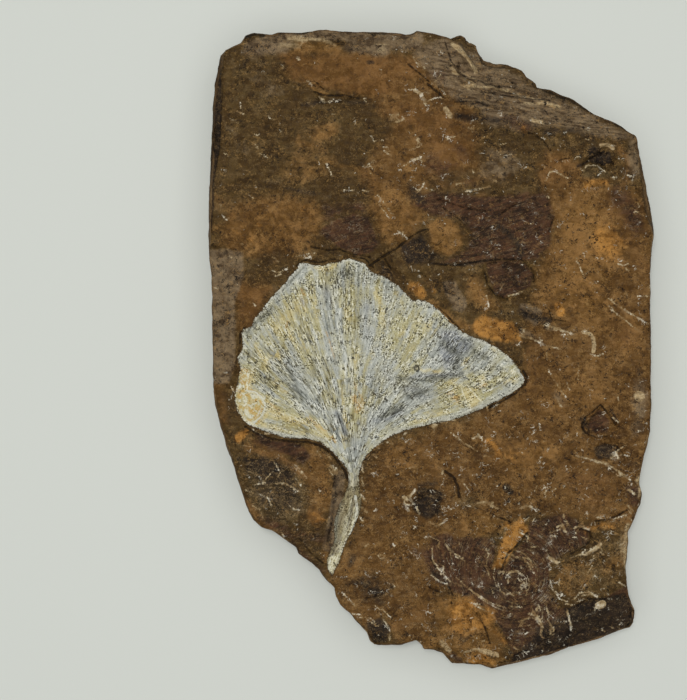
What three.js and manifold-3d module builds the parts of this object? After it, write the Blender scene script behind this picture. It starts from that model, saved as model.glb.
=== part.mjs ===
// A fossil ginkgo leaf on its slab of silicified shale, in millimetres, +Z up.
// The slab lies on its flat underside. The leaf lies face up in a shallow bed in the slab's top face,
// with its stalk towards -Y. The origin is under the middle of the slab's box, on the surface it rests on.
import * as THREE from 'three';
import { mergeVertices } from 'three/addons/utils/BufferGeometryUtils.js';
import Module from 'manifold-3d';

const wasm = await Module();
wasm.setup();

// ---- Driving dimensions ----
const SLAB_THICKNESS = 11;        // underside to the bedding plane that carries the leaf
const LEAF_BED_DEPTH = 1.1;       // floor of the leaf's bed, below the bedding plane
const SEAT_GAP = 0.3;             // between the leaf and its bed
const LEAF_RISE = 0.3;            // blade above the stone around it
const VEIN_RIBS = 42;             // ribs across the blade
const VEIN_RIB_HEIGHT = 0.16;
const STALK_RISE = 0.5;           // stalk's ridge above the stone around it
const EDGE_LEAN = 0.35;           // broken edge, from its widest level in to the top
const GRAIN = 0.16;               // roughness of the bedding plane
const GRAIN_CELL = 2.7;           // its spacing

const BED_FLOOR = SLAB_THICKNESS - LEAF_BED_DEPTH;
const LEAF_FLOOR = BED_FLOOR + SEAT_GAP;
const CLEAR = SLAB_THICKNESS + 5; // a height clear above everything, where the cutters end

// ---- Small helpers ----
const rad = THREE.MathUtils.degToRad;
const smooth = THREE.MathUtils.smoothstep;
const flatPoint = ([x, y]) => new THREE.Vector3(x, y, 0);

// A repeatable value from 0 to 1 for a whole number, for what is ragged.
const ragged = (n) => THREE.MathUtils.euclideanModulo(Math.sin(n * 12.9898) * 43758.5453, 1);

function solidOf(geometry) {
  const bare = geometry.clone();
  bare.deleteAttribute('normal');
  bare.deleteAttribute('uv');
  const merged = mergeVertices(bare, 1e-4);
  return new wasm.Manifold(new wasm.Mesh({
    numProp: 3,
    vertProperties: new Float32Array(merged.attributes.position.array),
    triVerts: new Uint32Array(merged.index.array),
  }));
}

function meshOf(solid, name, material) {
  const made = solid.getMesh();
  const geometry = new THREE.BufferGeometry();
  geometry.setAttribute('position', new THREE.BufferAttribute(made.vertProperties, 3));
  geometry.setIndex(new THREE.BufferAttribute(made.triVerts, 1));
  geometry.computeVertexNormals();
  const mesh = new THREE.Mesh(geometry, material);
  mesh.name = name;
  return mesh;
}

function indexedSolid(points, index) {
  const geometry = new THREE.BufferGeometry().setFromPoints(points);
  geometry.setIndex(index);
  return solidOf(geometry);
}

// A closed solid from rings of points that all have the same count, anticlockwise, from the lowest up.
function loft(rings) {
  const count = rings[0].length;
  const index = [];
  for (let r = 0; r + 1 < rings.length; r++) {
    for (let i = 0; i < count; i++) {
      const a = r * count + i;
      const b = r * count + (i + 1) % count;
      index.push(a, b, b + count, a, b + count, a + count);
    }
  }
  const top = (rings.length - 1) * count;
  const floor = THREE.ShapeUtils.triangulateShape(rings[0], []);
  const roof = THREE.ShapeUtils.triangulateShape(rings.at(-1), []);
  for (const [a, b, c] of floor) index.push(a, c, b);
  for (const [a, b, c] of roof) index.push(top + a, top + b, top + c);
  return indexedSolid(rings.flat(), index);
}

// An upright prism over an outline in plan.
function prism(outline, bottom, top) {
  const shape = new THREE.Shape(outline.map(([x, y]) => new THREE.Vector2(x, y)));
  const geometry = new THREE.ExtrudeGeometry(shape, { depth: top - bottom, bevelEnabled: false });
  return solidOf(geometry.translate(0, 0, bottom));
}

// The outward direction in plan at each point of an anticlockwise outline.
function outwards(points) {
  return points.map((p, i) => {
    const before = points.at(i - 1);
    const after = points[(i + 1) % points.length];
    return new THREE.Vector2(after[1] - before[1], before[0] - after[0]).normalize();
  });
}

function widened(points, by) {
  const out = outwards(points);
  return points.map(([x, y], i) => [x + out[i].x * by, y + out[i].y * by]);
}

// ---- The slab's edge ----
// The outline at its widest level, anticlockwise. A third value marks a smooth joint face and says how
// far it leans in to the top. The other points are broken edge.
const SLAB_OUTLINE = [
  [-37.0, 2.0], [-37.0, -3.0], [-36.6, -6.5], [-36.2, -9.5, 0.4], [-34.4, -16.0, 0.4], [-33.0, -20.0, 0.4],
  [-31.3, -25.0, 0.4], [-30.6, -27.3], [-29.9, -28.8], [-28.5, -30.1], [-26.6, -30.8], [-25.2, -31.5],
  [-23.9, -32.6], [-22.8, -33.4], [-22.4, -34.4], [-20.4, -36.0], [-19.2, -36.9], [-17.6, -38.9],
  [-16.6, -40.0], [-16.3, -41.3], [-15.6, -42.8], [-14.8, -43.8], [-13.8, -44.1], [-12.4, -45.9],
  [-11.0, -47.4], [-10.4, -48.8], [-9.6, -49.6], [-8.2, -49.9], [-5.0, -49.8], [-3.6, -49.3],
  [-2.6, -49.1], [-1.8, -49.7], [-1.3, -50.3], [0.6, -50.5], [1.5, -51.1], [2.3, -52.0], [3.4, -52.7],
  [5.0, -53.0], [8.2, -53.1], [10.2, -53.5, 0.3], [18.2, -51.6, 0.3], [26.3, -49.3, 0.3], [33.6, -47.0, 0.3],
  [34.5, -46.1], [34.4, -44.7], [34.4, -43.6], [33.5, -41.2], [33.0, -38.5], [32.8, -36.5], [33.1, -33.8],
  [33.4, -30.6], [34.3, -28.1], [35.2, -26.0], [35.6, -24.0], [35.4, -22.4], [35.6, -20.0], [36.3, -17.0],
  [36.9, -13.8], [37.1, -9.5], [37.2, -4.0], [37.3, 0.5], [37.1, 5.0], [36.9, 8.5], [37.0, 14.5],
  [37.0, 16.5], [37.4, 18.8, 0.4], [37.4, 20.4, 0.9], [36.3, 27.2, 2.2], [34.9, 34.0, 2.0], [34.5, 35.7],
  [32.1, 37.5], [27.6, 39.9], [23.9, 42.3], [20.6, 43.9], [18.2, 44.5], [18.1, 45.1], [16.4, 46.1],
  [15.8, 47.0], [14.8, 47.7], [12.7, 48.4], [10.6, 48.4], [9.3, 49.0], [8.5, 50.0], [7.9, 51.4],
  [6.7, 52.4], [5.0, 52.9], [3.4, 52.5], [-0.8, 53.3], [-2.3, 53.5, 0.3], [-3.6, 52.9], [-7.5, 53.3],
  [-12.5, 53.4], [-17.5, 53.5, 0.3], [-22.5, 53.5], [-25.6, 53.1], [-26.6, 52.7], [-29.6, 53.1],
  [-31.2, 52.6], [-31.8, 51.2], [-34.7, 50.0], [-35.4, 49.2, 1.0], [-36.3, 44.5, 1.9], [-36.8, 40.0, 1.9],
  [-36.9, 33.0, 1.6], [-37.3, 27.0, 1.0], [-37.4, 17.0, 0.8], [-37.2, 12.5], [-36.9, 9.0],
];

// The edge face, as [share of the thickness, how far in, how much of the lean, chipping].
const EDGE_LEVELS = [
  [0, 1.1, 0, 0.4], [0.14, 0.35, 0, 0.35], [0.2, 0.05, 0, 0.6], [0.4, 0.3, 0, 0.35],
  [0.46, 0, 0, 0.5], [0.72, 0.1, 0, 0.3], [0.88, 0, 0.1, 0.12], [1, 0, 1, 0], [1.3, 0, 1, 0],
];
const JOINT_SHARE = 0.35;         // how much of the levels' steps shows on a joint face

function edgeRing([share, inset, leant, chipping], level) {
  const out = outwards(SLAB_OUTLINE);
  return SLAB_OUTLINE.map(([x, y, lean], i) => {
    const joint = lean !== undefined;
    const chip = joint ? 0 : chipping * ragged(i * 7 + level * 131);
    const back = (joint ? JOINT_SHARE : 1) * inset + chip + leant * (lean ?? EDGE_LEAN);
    return new THREE.Vector3(x - out[i].x * back, y - out[i].y * back, share * SLAB_THICKNESS);
  });
}

// ---- The slab's top face ----
// The bedding plane is gently wavy.
function beddingHeight(x, y) {
  const wave = 0.2 * Math.sin(x / 8 + 0.6) * Math.cos(y / 11) + 0.12 * Math.sin(y / 4.6 + x / 9);
  return SLAB_THICKNESS + wave;
}

// A block under the bedding plane, wider than the slab on every side, with a grainy top.
function beddingSolid() {
  const [width, length] = [84, 116];
  const block = new THREE.BoxGeometry(width, length, 2 * SLAB_THICKNESS,
    Math.round(width / GRAIN_CELL), Math.round(length / GRAIN_CELL), 1);
  const at = block.attributes.position;
  for (let i = 0; i < at.count; i++) {
    if (at.getZ(i) < 0) continue;
    const [x, y] = [at.getX(i), at.getY(i)];
    const grain = GRAIN * ragged(57 * Math.round(x) + 1013 * Math.round(y));
    at.setZ(i, beddingHeight(x, y) - grain);
  }
  return solidOf(block);
}

// Joint facets and broken slopes, where the stone falls away from a hinge line to the slab's edge:
// its two ends (the stone falls away on its left), the step down at the hinge, the slope and the reach.
const FALLING_FACETS = [
  [[33.8, -38.2], [13.5, -51.6], 0, 22, 14],      // joint facet at the lower right corner
  [[-31.6, -6.4], [-31.9, 16.8], 0.15, 10, 8],    // facet on the left flank
  [[-36, 51.0], [-3.4, 50.2], 0, 26, 6],          // rounded top edge
  [[-5.4, 50.6], [5.6, 39.6], 0.5, 11, 18],       // stepped break at the top
  [[3.4, 41.6], [35.2, 33.0], 0.3, 22, 16],       // broken slope at the upper right
  [[12.5, -50.8], [-3.0, -48.9], 0, 20, 6],       // rounded lip at the foot
];

function fallingFacet([start, end, step, slope, reach]) {
  const run = new THREE.Vector2(end[0] - start[0], end[1] - start[1]);
  const height = CLEAR - SLAB_THICKNESS + reach;
  const cutter = new THREE.BoxGeometry(run.length(), reach, height);
  cutter.translate(run.length() / 2, reach / 2, height / 2);
  cutter.rotateX(-rad(slope));
  cutter.rotateZ(run.angle());
  return solidOf(cutter.translate(start[0], start[1], SLAB_THICKNESS - step));
}

// Flat-floored scars where flakes have come off, as a depth and an anticlockwise outline.
const FLAKE_SCARS = [
  [0.5, [[8.3, 13.9], [9.8, 9.8], [11.6, 8.5], [17.6, 9.6], [17.2, 12.6], [15.6, 14.7]]],
  [0.4, [[-3.0, 19.4], [-9.4, 15.6], [-9.0, 14.9], [-4.2, 12.2], [-1.4, 13.0], [2.0, 17.2]]],
  [0.9, [[25.4, -13.0], [27.2, -14.8], [30.9, -12.4], [28.6, -9.6]]],
  [0.7, [[27.0, -17.6], [31.6, -18.6], [32.2, -16.2], [28.6, -15.0]]],
  [0.8, [[24.6, 30.4], [27.0, 31.0], [29.6, 30.0], [31.4, 32.0], [30.0, 34.4]]],
  [0.4, [[-19.6, 43.4], [-18.0, 41.4], [-14.4, 41.2], [-8.6, 43.2], [-9.2, 48.0], [-16.0, 46.0]]],
];

// Rounded hollows, as centre, half width, half length, turn and depth.
const HOLLOWS = [
  [-0.8, -25.8, 3.4, 3.0, 20, 0.8],       // pit to the right of the stalk
  [14.0, -37.6, 8.4, 5.0, 24, 0.5],       // bowl of the swirled patch
  [-16.1, -27.6, 1.1, 7.0, -11, 0.7],     // channel along the stalk's left side
  [-26.4, -23.6, 6.0, 4.6, 30, 0.5],      // dish at the lower left
  [28.6, 32.2, 2.4, 1.6, 15, 1.2],        // hollow in the broken slope
  [9.6, 45.6, 4.6, 2.2, -30, 1.0],        // hollow under the bundle of rods
];

// Low swellings, as centre, half width, half length, turn and rise. They are rooted below the surface.
const SWELLING_ROOT = 0.5;
const SWELLINGS = [
  [27.4, 28.8, 3.4, 2.2, 0, 0.4],         // ochre dome
  [21.0, 31.2, 2.2, 1.7, 0, 0.35],
  [2.5, 18.5, 1.5, 1.7, 0, 0.3],
  [4.0, 9.0, 1.0, 1.5, 0, 0.3],
  [-17.5, 36.5, 1.4, 1.1, 0, 0.3],
  [-8.0, -46.8, 2.4, 2.2, 0, 0.3],
];

function bowl([x, y, across, along, turn], height, level) {
  const ball = new THREE.SphereGeometry(1, 12, 6);
  ball.scale(across, along, height);
  ball.rotateZ(rad(turn));
  return solidOf(ball.translate(x, y, level));
}

// Rods of silicified wood that stand out of the broken slope, as their half width and their run.
const WOOD_RODS = [
  [0.6, [[4.4, 51.0, 9.4], [6.0, 48.8, 9.8], [7.6, 46.4, 9.5]]],
  [0.45, [[3.2, 47.0, 9.9], [4.6, 45.4, 10.2], [7.0, 43.6, 10.3]]],
  [0.6, [[7.6, 44.2, 9.9], [11.0, 42.9, 9.9], [15.6, 41.6, 9.6], [21.6, 40.8, 9.0]]],
  [0.5, [[9.0, 42.8, 10.2], [13.0, 41.6, 10.1], [18.0, 40.0, 9.7]]],
];

function rod([halfWidth, run]) {
  const path = new THREE.CatmullRomCurve3(run.map((p) => new THREE.Vector3(...p)));
  const section = new THREE.Shape();
  section.absarc(0, 0, halfWidth, 0, 2 * Math.PI);
  return solidOf(new THREE.ExtrudeGeometry(section, { extrudePath: path, steps: 6, curveSegments: 3 }));
}

// ---- The leaf ----
// Its blade is a fan of veins from the stalk's top to the margin, so its four sides are the foot, the
// margin and the two side edges.
const FAN_ROWS = 7;
const FAN_START = 0.04;           // the first row, as a share of a vein's length
const SIDE_PULL = 1.6;            // how fast the side edges' bend fades towards the middle veins
// From the left lobe, over the top, to the right lobe.
const LEAF_MARGIN = [
  [-28.6, -13.4], [-31.0, -12.1], [-32.4, -9.8], [-32.6, -7.6], [-32.1, -4.6], [-31.8, -3.2], [-32.2, -1.6],
  [-31.3, 0.4], [-31.4, 2.9], [-30.2, 3.9], [-28.3, 6.6], [-26.3, 8.9], [-24.3, 11.0], [-22.4, 13.4],
  [-21.4, 14.3], [-18.6, 13.9], [-15.6, 14.5], [-13.4, 15.0], [-11.4, 14.4], [-9.9, 13.0], [-7.7, 11.9],
  [-5.4, 10.4], [-3.6, 8.5], [-2.7, 8.0], [-1.6, 8.1], [-0.1, 7.5], [2.0, 5.7], [4.3, 3.5], [6.3, 2.3],
  [9.5, 1.0], [12.2, -0.7], [14.0, -2.4], [15.2, -4.2], [15.4, -5.6], [14.2, -6.8], [12.4, -8.0],
];
// The side edges, from the stalk out.
const LEFT_EDGE = [
  [-13.8, -20.8], [-14.5, -19.4], [-15.5, -18.1], [-17.0, -16.6], [-18.5, -15.6], [-20.5, -15.0],
  [-24.0, -14.8], [-26.4, -14.1], [-28.6, -13.4],
];
const RIGHT_EDGE = [
  [-12.0, -20.8], [-11.3, -18.6], [-10.0, -17.0], [-8.6, -15.8], [-6.8, -14.6], [-4.0, -13.5],
  [0, -12.5], [3.6, -11.8], [7.9, -10.2], [12.4, -8.0],
];
// The stalk's middle line and half widths, from the blade down.
const STALK = [
  [-12.9, -19.0, 1.6], [-12.9, -21.5, 0.85], [-12.9, -23.5, 1.2], [-13.4, -26.0, 1.6], [-14.1, -29.0, 1.8],
  [-14.8, -31.5, 1.5], [-15.6, -33.6, 1.2], [-16.3, -35.8, 0.9], [-16.7, -37.6, 0.35],
];
const STALK_WIDEST = Math.max(...STALK.map(([, , halfWidth]) => halfWidth));
// The left lobe's tip is curled over on itself as a small rounded flap.
const FLAP = { centre: [-29.9, -9.9], halfWidth: 2.4, halfLength: 3.1, turn: 14, rise: 0.45, rounding: 0.35 };

const curve = (points) => new THREE.CatmullRomCurve3(points.map(flatPoint), false, 'centripetal');
const margin = curve(LEAF_MARGIN);
const sides = [curve(LEFT_EDGE), curve(RIGHT_EDGE)];

// How far a side edge bends away from the straight line between its ends.
function sideBend(side, along) {
  const straight = side.getPointAt(0).lerp(side.getPointAt(1), along);
  return side.getPointAt(along).sub(straight);
}

// A point of the blade: across is 0 to 1 from the left lobe to the right, along is 0 to 1 up a vein.
function bladePoint(across, along) {
  const foot = sides[0].getPointAt(0).lerp(sides[1].getPointAt(0), across);
  const point = foot.lerp(margin.getPointAt(across), along);
  point.addScaledVector(sideBend(sides[0], along), (1 - across) ** SIDE_PULL);
  return point.addScaledVector(sideBend(sides[1], along), across ** SIDE_PULL);
}

function bladeHeight(point, along, onRib) {
  const rib = onRib ? VEIN_RIB_HEIGHT * smooth(along, 0.1, 0.5) : 0;
  const rounded = smooth(along, 0, 0.3) * (1 - 0.7 * smooth(along, 0.9, 1));
  return beddingHeight(point.x, point.y) + LEAF_RISE * rounded + rib;
}

function bladeSolid() {
  const columns = 2 * VEIN_RIBS;
  const stride = columns + 1;
  const layer = stride * (FAN_ROWS + 1);
  const [under, over] = [[], []];
  for (let row = 0; row <= FAN_ROWS; row++) {
    const along = THREE.MathUtils.lerp(FAN_START, 1, row / FAN_ROWS);
    for (let column = 0; column <= columns; column++) {
      const point = bladePoint(column / columns, along);
      under.push(point.clone().setZ(LEAF_FLOOR));
      over.push(point.setZ(bladeHeight(point, along, column % 2 === 1)));
    }
  }
  const index = [];
  for (let row = 0; row < FAN_ROWS; row++) {
    for (let column = 0; column < columns; column++) {
      const a = row * stride + column;
      const [b, c, d] = [a + 1, a + stride + 1, a + stride];
      index.push(a, c, b, a, d, c);
      index.push(layer + a, layer + b, layer + c, layer + a, layer + c, layer + d);
    }
  }
  const rim = [];
  for (let column = 0; column < columns; column++) rim.push(column);
  for (let row = 0; row < FAN_ROWS; row++) rim.push(row * stride + columns);
  for (let column = columns; column > 0; column--) rim.push(FAN_ROWS * stride + column);
  for (let row = FAN_ROWS; row > 0; row--) rim.push(row * stride);
  rim.forEach((a, i) => {
    const b = rim[(i + 1) % rim.length];
    index.push(a, b, layer + b, a, layer + b, layer + a);
  });
  return indexedSolid([...under, ...over], index);
}

function stalkSides(extra) {
  return STALK.map(([x, y, halfWidth], i) => {
    const [before, after] = [STALK[Math.max(i - 1, 0)], STALK[Math.min(i + 1, STALK.length - 1)]];
    const down = new THREE.Vector2(after[0] - before[0], after[1] - before[1]).normalize();
    const reach = halfWidth + extra;
    return [[x + down.y * reach, y - down.x * reach], [x - down.y * reach, y + down.x * reach]];
  });
}

// The stalk is a low rounded ridge: each section is half an ellipse on the leaf's flat underside.
function stalkSolid() {
  const steps = 8;
  const stride = steps + 1;
  const points = stalkSides(0).flatMap(([left, right], row) => {
    const [x, y, halfWidth] = STALK[row];
    const rise = 0.1 + STALK_RISE * halfWidth / STALK_WIDEST;
    const height = beddingHeight(x, y) + rise - LEAF_FLOOR;
    return Array.from({ length: stride }, (_, step) => {
      const turn = Math.PI * step / steps;
      const point = flatPoint(left).lerp(flatPoint(right), (1 - Math.cos(turn)) / 2);
      return point.setZ(LEAF_FLOOR + height * Math.sin(turn) ** 0.6);
    });
  });
  const index = [];
  for (let row = 0; row + 1 < STALK.length; row++) {
    const first = row * stride;
    for (let step = 0; step < steps; step++) {
      const a = first + step;
      index.push(a, a + stride, a + stride + 1, a, a + stride + 1, a + 1);
    }
    index.push(first, first + steps + stride, first + stride, first, first + steps, first + steps + stride);
  }
  const last = (STALK.length - 1) * stride;
  for (let step = 1; step < steps; step++) {
    index.push(0, step, step + 1);
    index.push(last, last + step + 1, last + step);
  }
  return indexedSolid(points, index);
}

function flapOutline(extra) {
  const ring = new THREE.EllipseCurve(...FLAP.centre, FLAP.halfWidth + extra, FLAP.halfLength + extra,
    0, 2 * Math.PI, false, rad(FLAP.turn));
  return ring.getPoints(20).slice(0, -1).map((p) => [p.x, p.y]);
}

function flapSolid() {
  const [x, y] = FLAP.centre;
  const top = beddingHeight(x, y) + FLAP.rise;
  const rings = [[0, LEAF_FLOOR], [0, top - FLAP.rounding], [-FLAP.rounding, top]];
  return loft(rings.map(([extra, z]) => flapOutline(extra).map((p) => flatPoint(p).setZ(z))));
}

function leafSolid() {
  return bladeSolid().add(stalkSolid()).add(flapSolid());
}

// The leaf's outlines in plan, anticlockwise: blade, stalk and flap, each wider by the seat gap.
function bedOutlines() {
  const blade = [];
  for (let i = 0; i < 16; i++) blade.push(bladePoint(1, i / 16));
  for (let i = 0; i < 76; i++) blade.push(bladePoint(1 - i / 76, 1));
  for (let i = 0; i < 16; i++) blade.push(bladePoint(0, 1 - i / 16));
  const stalk = stalkSides(SEAT_GAP);
  const [tipX, tipY] = STALK.at(-1);
  const stalkRing = stalk.map(([left]) => left);
  stalkRing.push([tipX, tipY - SEAT_GAP], ...stalk.map(([, right]) => right).reverse());
  return [widened(blade.map((p) => [p.x, p.y]), SEAT_GAP), stalkRing, flapOutline(SEAT_GAP)];
}

function slabSolid() {
  let slab = loft(EDGE_LEVELS.map(edgeRing)).intersect(beddingSolid());
  for (const swelling of SWELLINGS) {
    const [x, y] = swelling;
    const rise = swelling[5];
    slab = slab.add(bowl(swelling, rise + SWELLING_ROOT, beddingHeight(x, y) - SWELLING_ROOT));
  }
  for (const facet of FALLING_FACETS) slab = slab.subtract(fallingFacet(facet));
  for (const wood of WOOD_RODS) slab = slab.add(rod(wood));
  for (const [depth, outline] of FLAKE_SCARS) {
    slab = slab.subtract(prism(outline, SLAB_THICKNESS - depth, CLEAR));
  }
  for (const hollow of HOLLOWS) {
    const [x, y] = hollow;
    const depth = hollow[5];
    slab = slab.subtract(bowl(hollow, 2 * depth, beddingHeight(x, y) + depth));
  }
  for (const outline of bedOutlines()) slab = slab.subtract(prism(outline, BED_FLOOR, CLEAR));
  return slab;
}

// ---- Materials and the finished group ----
const stone = new THREE.MeshStandardMaterial({ color: 0x5f4327, roughness: 0.62, metalness: 0 });
const leafFilm = new THREE.MeshStandardMaterial({ color: 0xb4b29d, roughness: 0.78, metalness: 0 });

const fossil = new THREE.Group();
fossil.add(meshOf(slabSolid(), 'rock_slab', stone));
fossil.add(meshOf(leafSolid(), 'ginkgo_leaf', leafFilm));

export default fossil;
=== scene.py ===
"""A fossil ginkgo leaf on its rock slab: how the part looks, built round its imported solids."""

import math
import bmesh
import bpy
import numpy as np
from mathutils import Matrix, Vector
from mathutils.bvhtree import BVHTree
from mathutils.geometry import delaunay_2d_cdt
from mathutils.kdtree import KDTree


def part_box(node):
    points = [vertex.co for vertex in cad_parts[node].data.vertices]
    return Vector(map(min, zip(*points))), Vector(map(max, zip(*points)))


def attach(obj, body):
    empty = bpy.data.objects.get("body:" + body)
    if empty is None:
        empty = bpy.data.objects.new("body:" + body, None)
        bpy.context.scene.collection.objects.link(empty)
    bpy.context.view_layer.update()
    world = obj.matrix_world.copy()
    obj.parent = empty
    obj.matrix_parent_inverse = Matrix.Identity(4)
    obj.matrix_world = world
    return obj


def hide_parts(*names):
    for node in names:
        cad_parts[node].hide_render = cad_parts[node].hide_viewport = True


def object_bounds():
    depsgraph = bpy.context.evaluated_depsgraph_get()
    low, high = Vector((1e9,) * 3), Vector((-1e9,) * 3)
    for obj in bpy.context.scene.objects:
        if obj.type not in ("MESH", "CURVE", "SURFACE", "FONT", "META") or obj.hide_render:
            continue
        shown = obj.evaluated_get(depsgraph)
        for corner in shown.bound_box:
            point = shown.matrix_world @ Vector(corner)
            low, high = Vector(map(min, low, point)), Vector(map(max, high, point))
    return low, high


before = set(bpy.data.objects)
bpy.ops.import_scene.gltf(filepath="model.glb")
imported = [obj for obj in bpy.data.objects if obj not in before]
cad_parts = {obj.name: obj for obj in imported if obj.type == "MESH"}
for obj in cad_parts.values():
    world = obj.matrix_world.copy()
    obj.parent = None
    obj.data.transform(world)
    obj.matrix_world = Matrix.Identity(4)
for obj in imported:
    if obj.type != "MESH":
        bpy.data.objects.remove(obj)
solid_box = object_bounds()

# ---------------------------------------------------------------------------------------------
# The rock slab: a flat piece of brown, silicified shale, 11 mm thick, split along its bedding and
# broken round its edges by hammer and weather. Thin layers of it have come away in scars, iron
# has stained it ochre, orange and maroon, and shreds of other plants lie in it.

# All sizes are in millimetres, from the middle of the slab's underside. The meshes are in metres.
MILLIMETRE = 0.001
PLAN = (-38, 38, -54, 54)          # a little more than the slab, in x and in y
DRAWN = 256                        # random heights each way, before they come round again
DRAWN_FROM = 500                   # keeps their count above 0 all over the plan


def bumps(x, y, period, seed):
    """Smooth random heights from -1 to 1 over the plan, with one bump about every period."""
    table = np.random.default_rng(seed).uniform(-1, 1, (DRAWN, DRAWN))
    u = x / period + DRAWN_FROM
    v = y / period + DRAWN_FROM
    column = np.floor(u).astype(int)
    row = np.floor(v).astype(int)
    a = u - column
    b = v - row
    a = a * a * (3 - 2 * a)
    b = b * b * (3 - 2 * b)
    this, right = column % DRAWN, (column + 1) % DRAWN
    level, above = row % DRAWN, (row + 1) % DRAWN
    near = table[this, level] * (1 - a) + table[right, level] * a
    far = table[this, above] * (1 - a) + table[right, above] * a
    return near * (1 - b) + far * b


def rough(x, y, period, seed, layers=4, fade=0.5):
    """Bumps on bumps, each layer half the size of the last and turned against it."""
    total = np.zeros(np.shape(x))
    share = 1.0
    weight = 0.0
    for layer in range(layers):
        total = total + share * bumps(x, y, period, seed + layer)
        weight += share
        x, y = 0.8 * x - 0.6 * y + 3.7, 0.6 * x + 0.8 * y - 1.9
        period *= 0.5
        share *= fade
    return total / weight


def ease(low, high, value):
    """0 below low, 1 above high, and a smooth rise between them."""
    t = np.clip((value - low) / (high - low), 0, 1)
    return t * t * (3 - 2 * t)


def line_distance(x, y, points):
    """How far each place of the plan is from a line of points."""
    nearest = np.full(np.shape(x), 1e9)
    for (ax, ay), (bx, by) in zip(points[:-1], points[1:]):
        dx = bx - ax
        dy = by - ay
        along = np.clip(((x - ax) * dx + (y - ay) * dy) / max(dx * dx + dy * dy, 1e-9), 0, 1)
        nearest = np.minimum(nearest, np.hypot(x - ax - along * dx, y - ay - along * dy))
    return nearest


def within(x, y, points):
    """True where a place of the plan is inside a closed outline."""
    odd = np.zeros(np.shape(x), bool)
    for (ax, ay), (bx, by) in zip(points, points[1:] + points[:1]):
        if ay != by:
            odd ^= ((ay > y) != (by > y)) & (x < (bx - ax) * (y - ay) / (by - ay) + ax)
    return odd


def curve(points, spacing):
    """A smooth line through the points, as places that are evenly spaced along it."""
    path = []
    given = [np.array(p, float) for p in points]
    ends = [2 * given[0] - given[1]] + given + [2 * given[-1] - given[-2]]
    for before, start, end, after in zip(ends, ends[1:], ends[2:], ends[3:]):
        for t in np.arange(0, 1, 0.1):
            path.append(
                0.5 * (2 * start + (end - before) * t
                       + (2 * before - 5 * start + 4 * end - after) * t ** 2
                       + (3 * start - before - 3 * end + after) * t ** 3)
            )
    path.append(given[-1])
    return evenly(np.array(path), spacing)


def evenly(path, spacing):
    """The same line with its places evenly spaced."""
    steps = np.hypot(*np.diff(path, axis=0).T)
    far = np.concatenate([[0], np.cumsum(steps)])
    places = np.linspace(0, far[-1], max(2, round(far[-1] / spacing) + 1))
    return np.stack([np.interp(places, far, path[:, 0]), np.interp(places, far, path[:, 1])], 1)


def inward(ring, span):
    """The direction into a ring that runs anticlockwise, at each of its places."""
    tangent = np.roll(ring, -span, 0) - np.roll(ring, span, 0)
    normal = np.stack([-tangent[:, 1], tangent[:, 0]], 1)
    return normal / np.maximum(np.hypot(*normal.T)[:, None], 1e-9)


# The leaf's outline comes first, because the stone has a bed for it.
LEAF_MARGIN = [
    (-28.6, -13.4), (-31, -12.1), (-32.4, -9.8), (-32.6, -7.6), (-32.1, -4.6), (-31.8, -3.2),
    (-32.2, -1.6), (-31.3, 0.4), (-31.4, 2.9), (-30.2, 3.9), (-28.3, 6.6), (-26.3, 8.9),
    (-24.3, 11), (-22.4, 13.4), (-21.4, 14.3), (-18.6, 13.9), (-15.6, 14.5), (-13.4, 15),
    (-11.4, 14.4), (-9.9, 13), (-7.7, 11.9), (-5.4, 10.4), (-3.6, 8.5), (-2.7, 8), (-1.6, 8.1),
    (-0.1, 7.5), (2, 5.7), (4.3, 3.5), (6.3, 2.3), (9.5, 1), (12.2, -0.7), (14, -2.4),
    (15.2, -4.2), (15.4, -5.6), (14.2, -6.8), (12.4, -8),
]
LEAF_LEFT_EDGE = [
    (-13.8, -20.8), (-14.5, -19.4), (-15.5, -18.1), (-17, -16.6), (-18.5, -15.6),
    (-20.5, -15), (-24, -14.8), (-26.4, -14.1), (-28.6, -13.4),
]
LEAF_RIGHT_EDGE = [
    (-12, -20.8), (-11.3, -18.6), (-10, -17), (-8.6, -15.8), (-6.8, -14.6), (-4, -13.5),
    (0, -12.5), (3.6, -11.8), (7.9, -10.2), (12.4, -8),
]
STALK_LEFT = [
    (-13.8, -20.8), (-13.8, -22.2), (-14.3, -24), (-15.3, -26), (-16, -28), (-16.2, -30),
    (-16.1, -31.6), (-16.7, -33.2), (-17.2, -34.6), (-17.4, -35.8), (-17.1, -36.9), (-16.5, -37.8),
]
STALK_RIGHT = [
    (-12, -20.8), (-11.9, -23), (-11.6, -25), (-11.7, -26.6), (-12.3, -28.4), (-13, -30),
    (-13.8, -31.5), (-14.7, -33.5), (-15.2, -35.3), (-15.9, -36.6), (-16.5, -37.8),
]
LEAF_RING_STEP = 0.15
LEAF_RAGGED = 0.2                  # of its margin, each way

leaf_sides = [
    curve(STALK_RIGHT, LEAF_RING_STEP)[::-1],
    curve(LEAF_RIGHT_EDGE, LEAF_RING_STEP),
    curve(LEAF_MARGIN, LEAF_RING_STEP)[::-1],
    curve(LEAF_LEFT_EDGE, LEAF_RING_STEP)[::-1],
    curve(STALK_LEFT, LEAF_RING_STEP),
]
leaf_ring = np.concatenate([side[:-1] for side in leaf_sides])
leaf_ring = leaf_ring + inward(leaf_ring, 3) * (
    LEAF_RAGGED * rough(leaf_ring[:, 0], leaf_ring[:, 1], 1.3, 11, 3, 0.8)
    * (0.35 + ease(-14, 2, leaf_ring[:, 1]))
)[:, None]


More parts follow.
